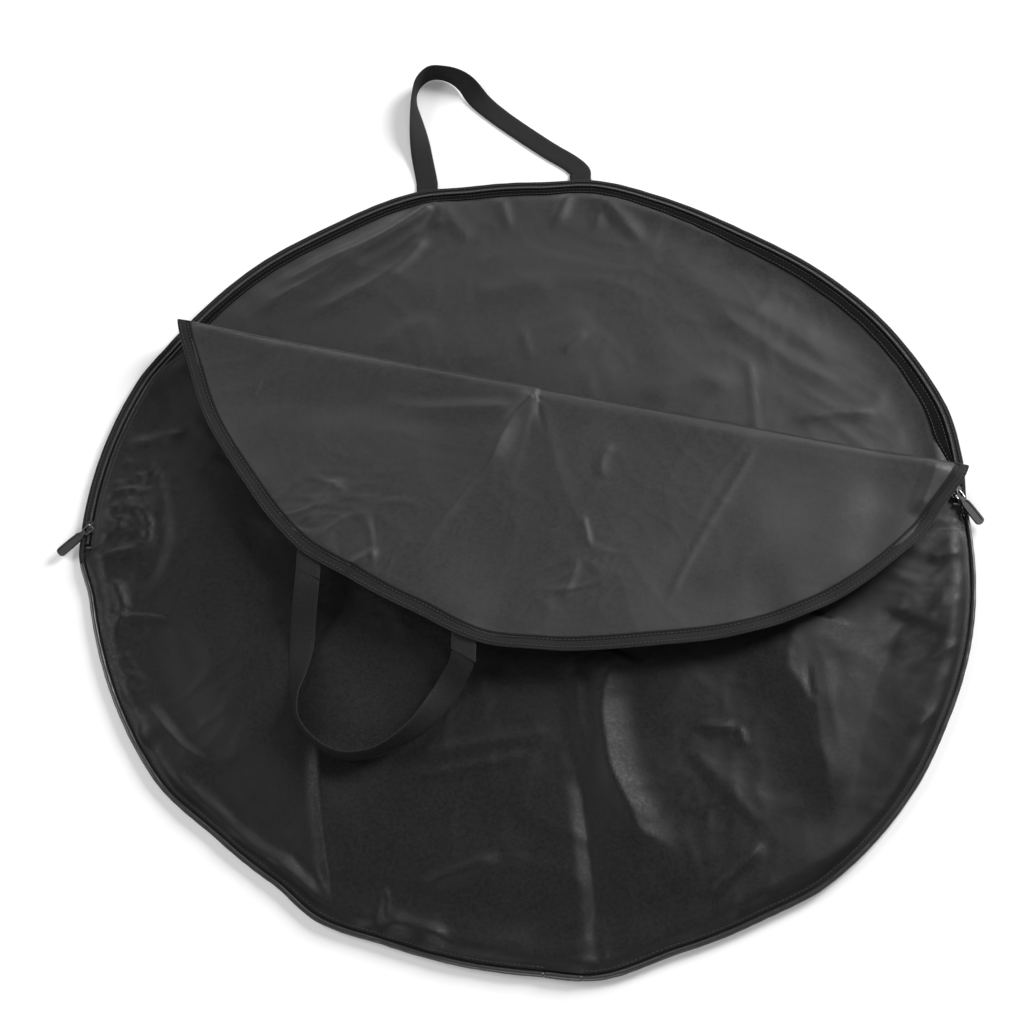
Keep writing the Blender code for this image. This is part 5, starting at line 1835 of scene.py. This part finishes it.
@dataclass
class Handles:
    """Both webbing handles: their sewn ends and free loops.

    A run's stations are given from the left leg: for the back loop beside and beyond its hinge
    point, for the front one in X and Y, and then the lower edge's height and the bank in degrees.
    """

    width: float = 0.020
    thickness: float = 0.0015
    sewn_length: float = 0.036
    end_points: int = 14
    clearance: float = 0.0035
    legs_x: tuple[float, float] = (-0.102, 0.041)
    gap: float = 0.0001
    strap_low: float = 0.0060
    steps: int = 12
    sharp: float = 50.0
    back_run: tuple[tuple[float, float, float, float], ...] = (
        (-0.003, 0.040, 0.0000, 80), (-0.005, 0.072, 0.0000, 45), (-0.006, 0.104, 0.0000, 8),
        (-0.002, 0.122, 0.0000, 0), (0.010, 0.134, 0.0000, 0), (0.026, 0.132, 0.0000, 4),
        (0.042, 0.121, 0.0000, 32), (0.056, 0.102, 0.0000, 78), (0.072, 0.083, 0.0000, 88),
        (0.093, 0.061, 0.0000, 90), (0.116, 0.038, 0.0000, 90), (0.135, 0.021, 0.0000, 90),
    )
    front_legs_x: tuple[float, float] = (-0.184, -0.0575)
    front_run: tuple[tuple[float, float, float, float], ...] = (
        (-0.1845, -0.0620, 0.0270, 90), (-0.1855, -0.0760, 0.0220, 90), (-0.1865, -0.0920, 0.0150, 88),
        (-0.1870, -0.1100, 0.0108, 80), (-0.1880, -0.1340, 0.0101, 50), (-0.1890, -0.1540, 0.0101, 24),
        (-0.1850, -0.1740, 0.0101, 8), (-0.1715, -0.1905, 0.0101, 2), (-0.1560, -0.2000, 0.0101, 0),
        (-0.1410, -0.2025, 0.0101, 0), (-0.1240, -0.1985, 0.0101, 0), (-0.1060, -0.1885, 0.0101, 14),
        (-0.0890, -0.1735, 0.0101, 36), (-0.0745, -0.1535, 0.0115, 66), (-0.0655, -0.1385, 0.0170, 84),
        (-0.0600, -0.1300, 0.0250, 90),
    )
    under_reach: float = 0.034
    under_span: Span = (0.010, 0.006)
    under_gap: float = 0.0002
    half_cloth: float = 0.0004
    slant_fade: float = 0.016

    def __post_init__(self) -> None:
        """Find the two legs' hinge points and the direction between them."""
        legs = []
        for x in self.legs_x:
            y = RIM.radius
            for _ in range(20):
                y = math.sqrt(float(RIM.reach(RIM.angle(np.array((x, y))))) ** 2 - x * x)
            legs.append(np.array((x, y + self.clearance)))
        self.left, self.right = legs
        self.along = (self.right - self.left) / np.linalg.norm(self.right - self.left)
        self.out = np.array((-self.along[1], self.along[0]))

    @property
    def front_level(self) -> float:
        """Return the lower face of the front handle's webbing where it is sewn on."""
        return 2.0 * FOLD.height - self.strap_low - self.thickness

    def place(self, leg: Array, aside: float, outwards: float) -> Array:
        """Return the X and Y of a point beside and beyond a leg's hinge point."""
        return leg + self.along * aside + self.out * outwards

    def build(self) -> None:
        """Make and dress both handles."""
        self.sewn_ends()
        self.back_loop()
        self.front_loop()

    def hinge_point(self, x: float) -> Array:
        """Return the point of the front handle's hinge line at an X."""
        start, stop = FOLD.turned(self.left), FOLD.turned(self.right)
        return start + (stop - start) * (x - start[0]) / (stop[0] - start[0])

    def strap(self, name: str, stations: Sequence[Sequence[float]], body: Body, nodes: Sequence[str],
              slanted: tuple[bool, bool] = (False, False)) -> bpy.types.Object:
        """Draw webbing through stations.

        Args:
            name: The piece's name.
            stations: X, Y, the lower edge's height and the bank: 0 on edge, 90 flat.
            body: The body that it rides on.
            nodes: The CAD nodes that it stands for.
            slanted: Whether its first and its last end are cut along the front handle's hinge line.

        Returns:
            The strap.
        """
        run = smooth_run(stations, self.steps)
        bank = np.radians(np.clip(run[:, 3], 0.0, 90.0))
        rise = (self.width * np.cos(bank) + self.thickness * np.sin(bank)) / 2.0
        path = np.column_stack([run[:, :2], run[:, 2] + rise])
        ahead = unit(np.gradient(path, axis=0))
        beside = unit(np.cross(UP, ahead))
        side = beside * np.sin(bank)[:, None] + UP * np.cos(bank)[:, None]
        travel = travelled(path)
        line = FOLD.turned(self.right) - FOLD.turned(self.left)
        slant = np.zeros(len(path))
        for end, wanted, distance in ((0, slanted[0], travel), (-1, slanted[1], travel[-1] - travel)):
            if wanted:
                lean = float(line @ ahead[end, :2]) / float(line @ side[end, :2])
                slant += lean * (1.0 - ease(distance / self.slant_fade))
        piece = sweep(name, path, side, flat_section(self.width, self.thickness), slant=slant)
        piece.data.set_sharp_from_angle(angle=math.radians(self.sharp))
        return dress(piece, Finish.WEBBING, body, nodes)

    def leads(self, leg: Array) -> list[tuple[float, ...]]:
        """Return the straight stations where the back loop leaves its sewn end."""
        return [(*self.place(leg, 0.0, outwards), 0.0, 90.0) for outwards in (self.gap / 2.0, 0.003, 0.010)]

    def back_loop(self) -> None:
        """Make the back handle's loop, lying beyond the rim."""
        stations = self.leads(self.left)
        for aside, outwards, low, bank in self.back_run:
            stations.append((*self.place(self.left, aside, outwards), low, bank))
        stations += reversed(self.leads(self.right))
        self.strap("back_strap", stations, Body.BACK_HANDLE, ["back_handle_loop"])

    def front_loop(self) -> None:
        """Make the front handle's loop, hanging from the flap on to the front panel."""
        left, right = (self.hinge_point(x) - (0.0, self.gap / 2.0) for x in self.front_legs_x)
        stations = [(*left, self.front_level, 90.0), *self.front_run, (*right, self.front_level, 90.0)]
        self.strap("front_strap", stations, Body.FRONT_HANDLE, ["front_handle_loop"], (True, True))

    def sewn_ends(self) -> None:
        """Make the four ends that are sewn to the panels."""
        reach = np.linspace(-self.sewn_length, -self.gap / 2.0, self.end_points)
        for side, leg in (("left", self.left), ("right", self.right)):
            flat = np.array([self.place(leg, 0.0, distance) for distance in reach])
            path = np.column_stack([flat, np.full(len(flat), self.thickness / 2.0)])
            section = flat_section(self.width, self.thickness)
            piece = sweep("back_strap_" + side + "_end", path, np.append(self.along, 0.0), section)
            dress(piece, Finish.WEBBING, Body.BAG, ["back_handle_" + side + "_end"])
        reach = np.linspace(self.gap / 2.0, self.under_reach, self.end_points)
        covered = past(reach, *self.under_span)
        for side, x in zip(("left", "right"), self.front_legs_x):
            flat = self.hinge_point(x) + reach[:, None] * np.array((0.0, 1.0))
            under = FLAP.height(flat) - self.half_cloth - self.thickness - self.under_gap
            low = np.minimum(self.front_level, under * covered + self.front_level * (1.0 - covered))
            stations = np.column_stack([flat, low, np.full(len(flat), 90.0)])[::-1]
            nodes = ["front_handle_" + side + "_end"]
            self.strap("front_strap_" + side + "_end", stations, Body.FLAP, nodes, (False, True))


@dataclass
class Pullers:
    """The two sliders with their links and grips, whose CAD shapes are kept."""

    def build(self) -> None:
        """Dress the pullers."""
        for side in ("left", "right"):
            recolour(side + "_slider", Finish.LACQUER)
            recolour(side + "_pull_link", Finish.BRIGHT_WIRE)
            recolour(side + "_pull_grip", Finish.GRIP)


@dataclass
class Studio:
    """The white floor and the soft lights."""

    floor_size: float = 8.0
    floor_level: float = -0.0004
    lights: ClassVar[tuple[tuple[str, tuple[float, float, float], float, float], ...]] = (
        ("right", (1.75, 1.5, 1.30), 1.2, 86.0),
        ("left", (-1.9, 0.3, 1.30), 1.0, 21.0),
        ("front", (0.0, -2.2, 1.60), 1.4, 29.0),
        ("back", (-0.5, 2.4, 0.62), 1.2, 16.0),
    )
    sky: float = 0.12

    def build(self) -> None:
        """Add the floor, the lights and the sky."""
        bpy.ops.object.select_all(action="DESELECT")
        bpy.ops.mesh.primitive_plane_add(size=self.floor_size, location=(0.0, 0.0, self.floor_level))
        floor = bpy.context.active_object
        floor.name = "floor"
        shade = Shade("pale_floor")
        floor.data.materials.append(shade.finish(Base_Color=grey(0.97), Roughness=0.9, Specular_IOR_Level=0.2))
        for name, place, size, power in self.lights:
            lamp = bpy.data.lights.new(name, "AREA")
            lamp.size = size
            lamp.energy = power
            lamp_object = bpy.data.objects.new(name, lamp)
            lamp_object.location = place
            lamp_object.rotation_euler = Vector(place).to_track_quat("Z", "Y").to_euler()
            bpy.context.collection.objects.link(lamp_object)
        world = bpy.data.worlds.new("studio")
        world.use_nodes = True
        world.node_tree.nodes["Background"].inputs["Color"].default_value = grey(self.sky)
        bpy.context.scene.world = world
        view = bpy.context.scene.view_settings
        view.view_transform = "Standard"
        view.look = "None"


def main() -> None:
    """Build the bag's pieces in order, and the studio round them."""
    logging.basicConfig(level=logging.INFO, format="%(message)s")
    PHOTO.place()
    Studio().build()
    ClothPanels().build()
    RimEdging().build()
    ZipRun().build()
    Handles().build()
    Pullers().build()


if __name__ == "__main__":
    main()
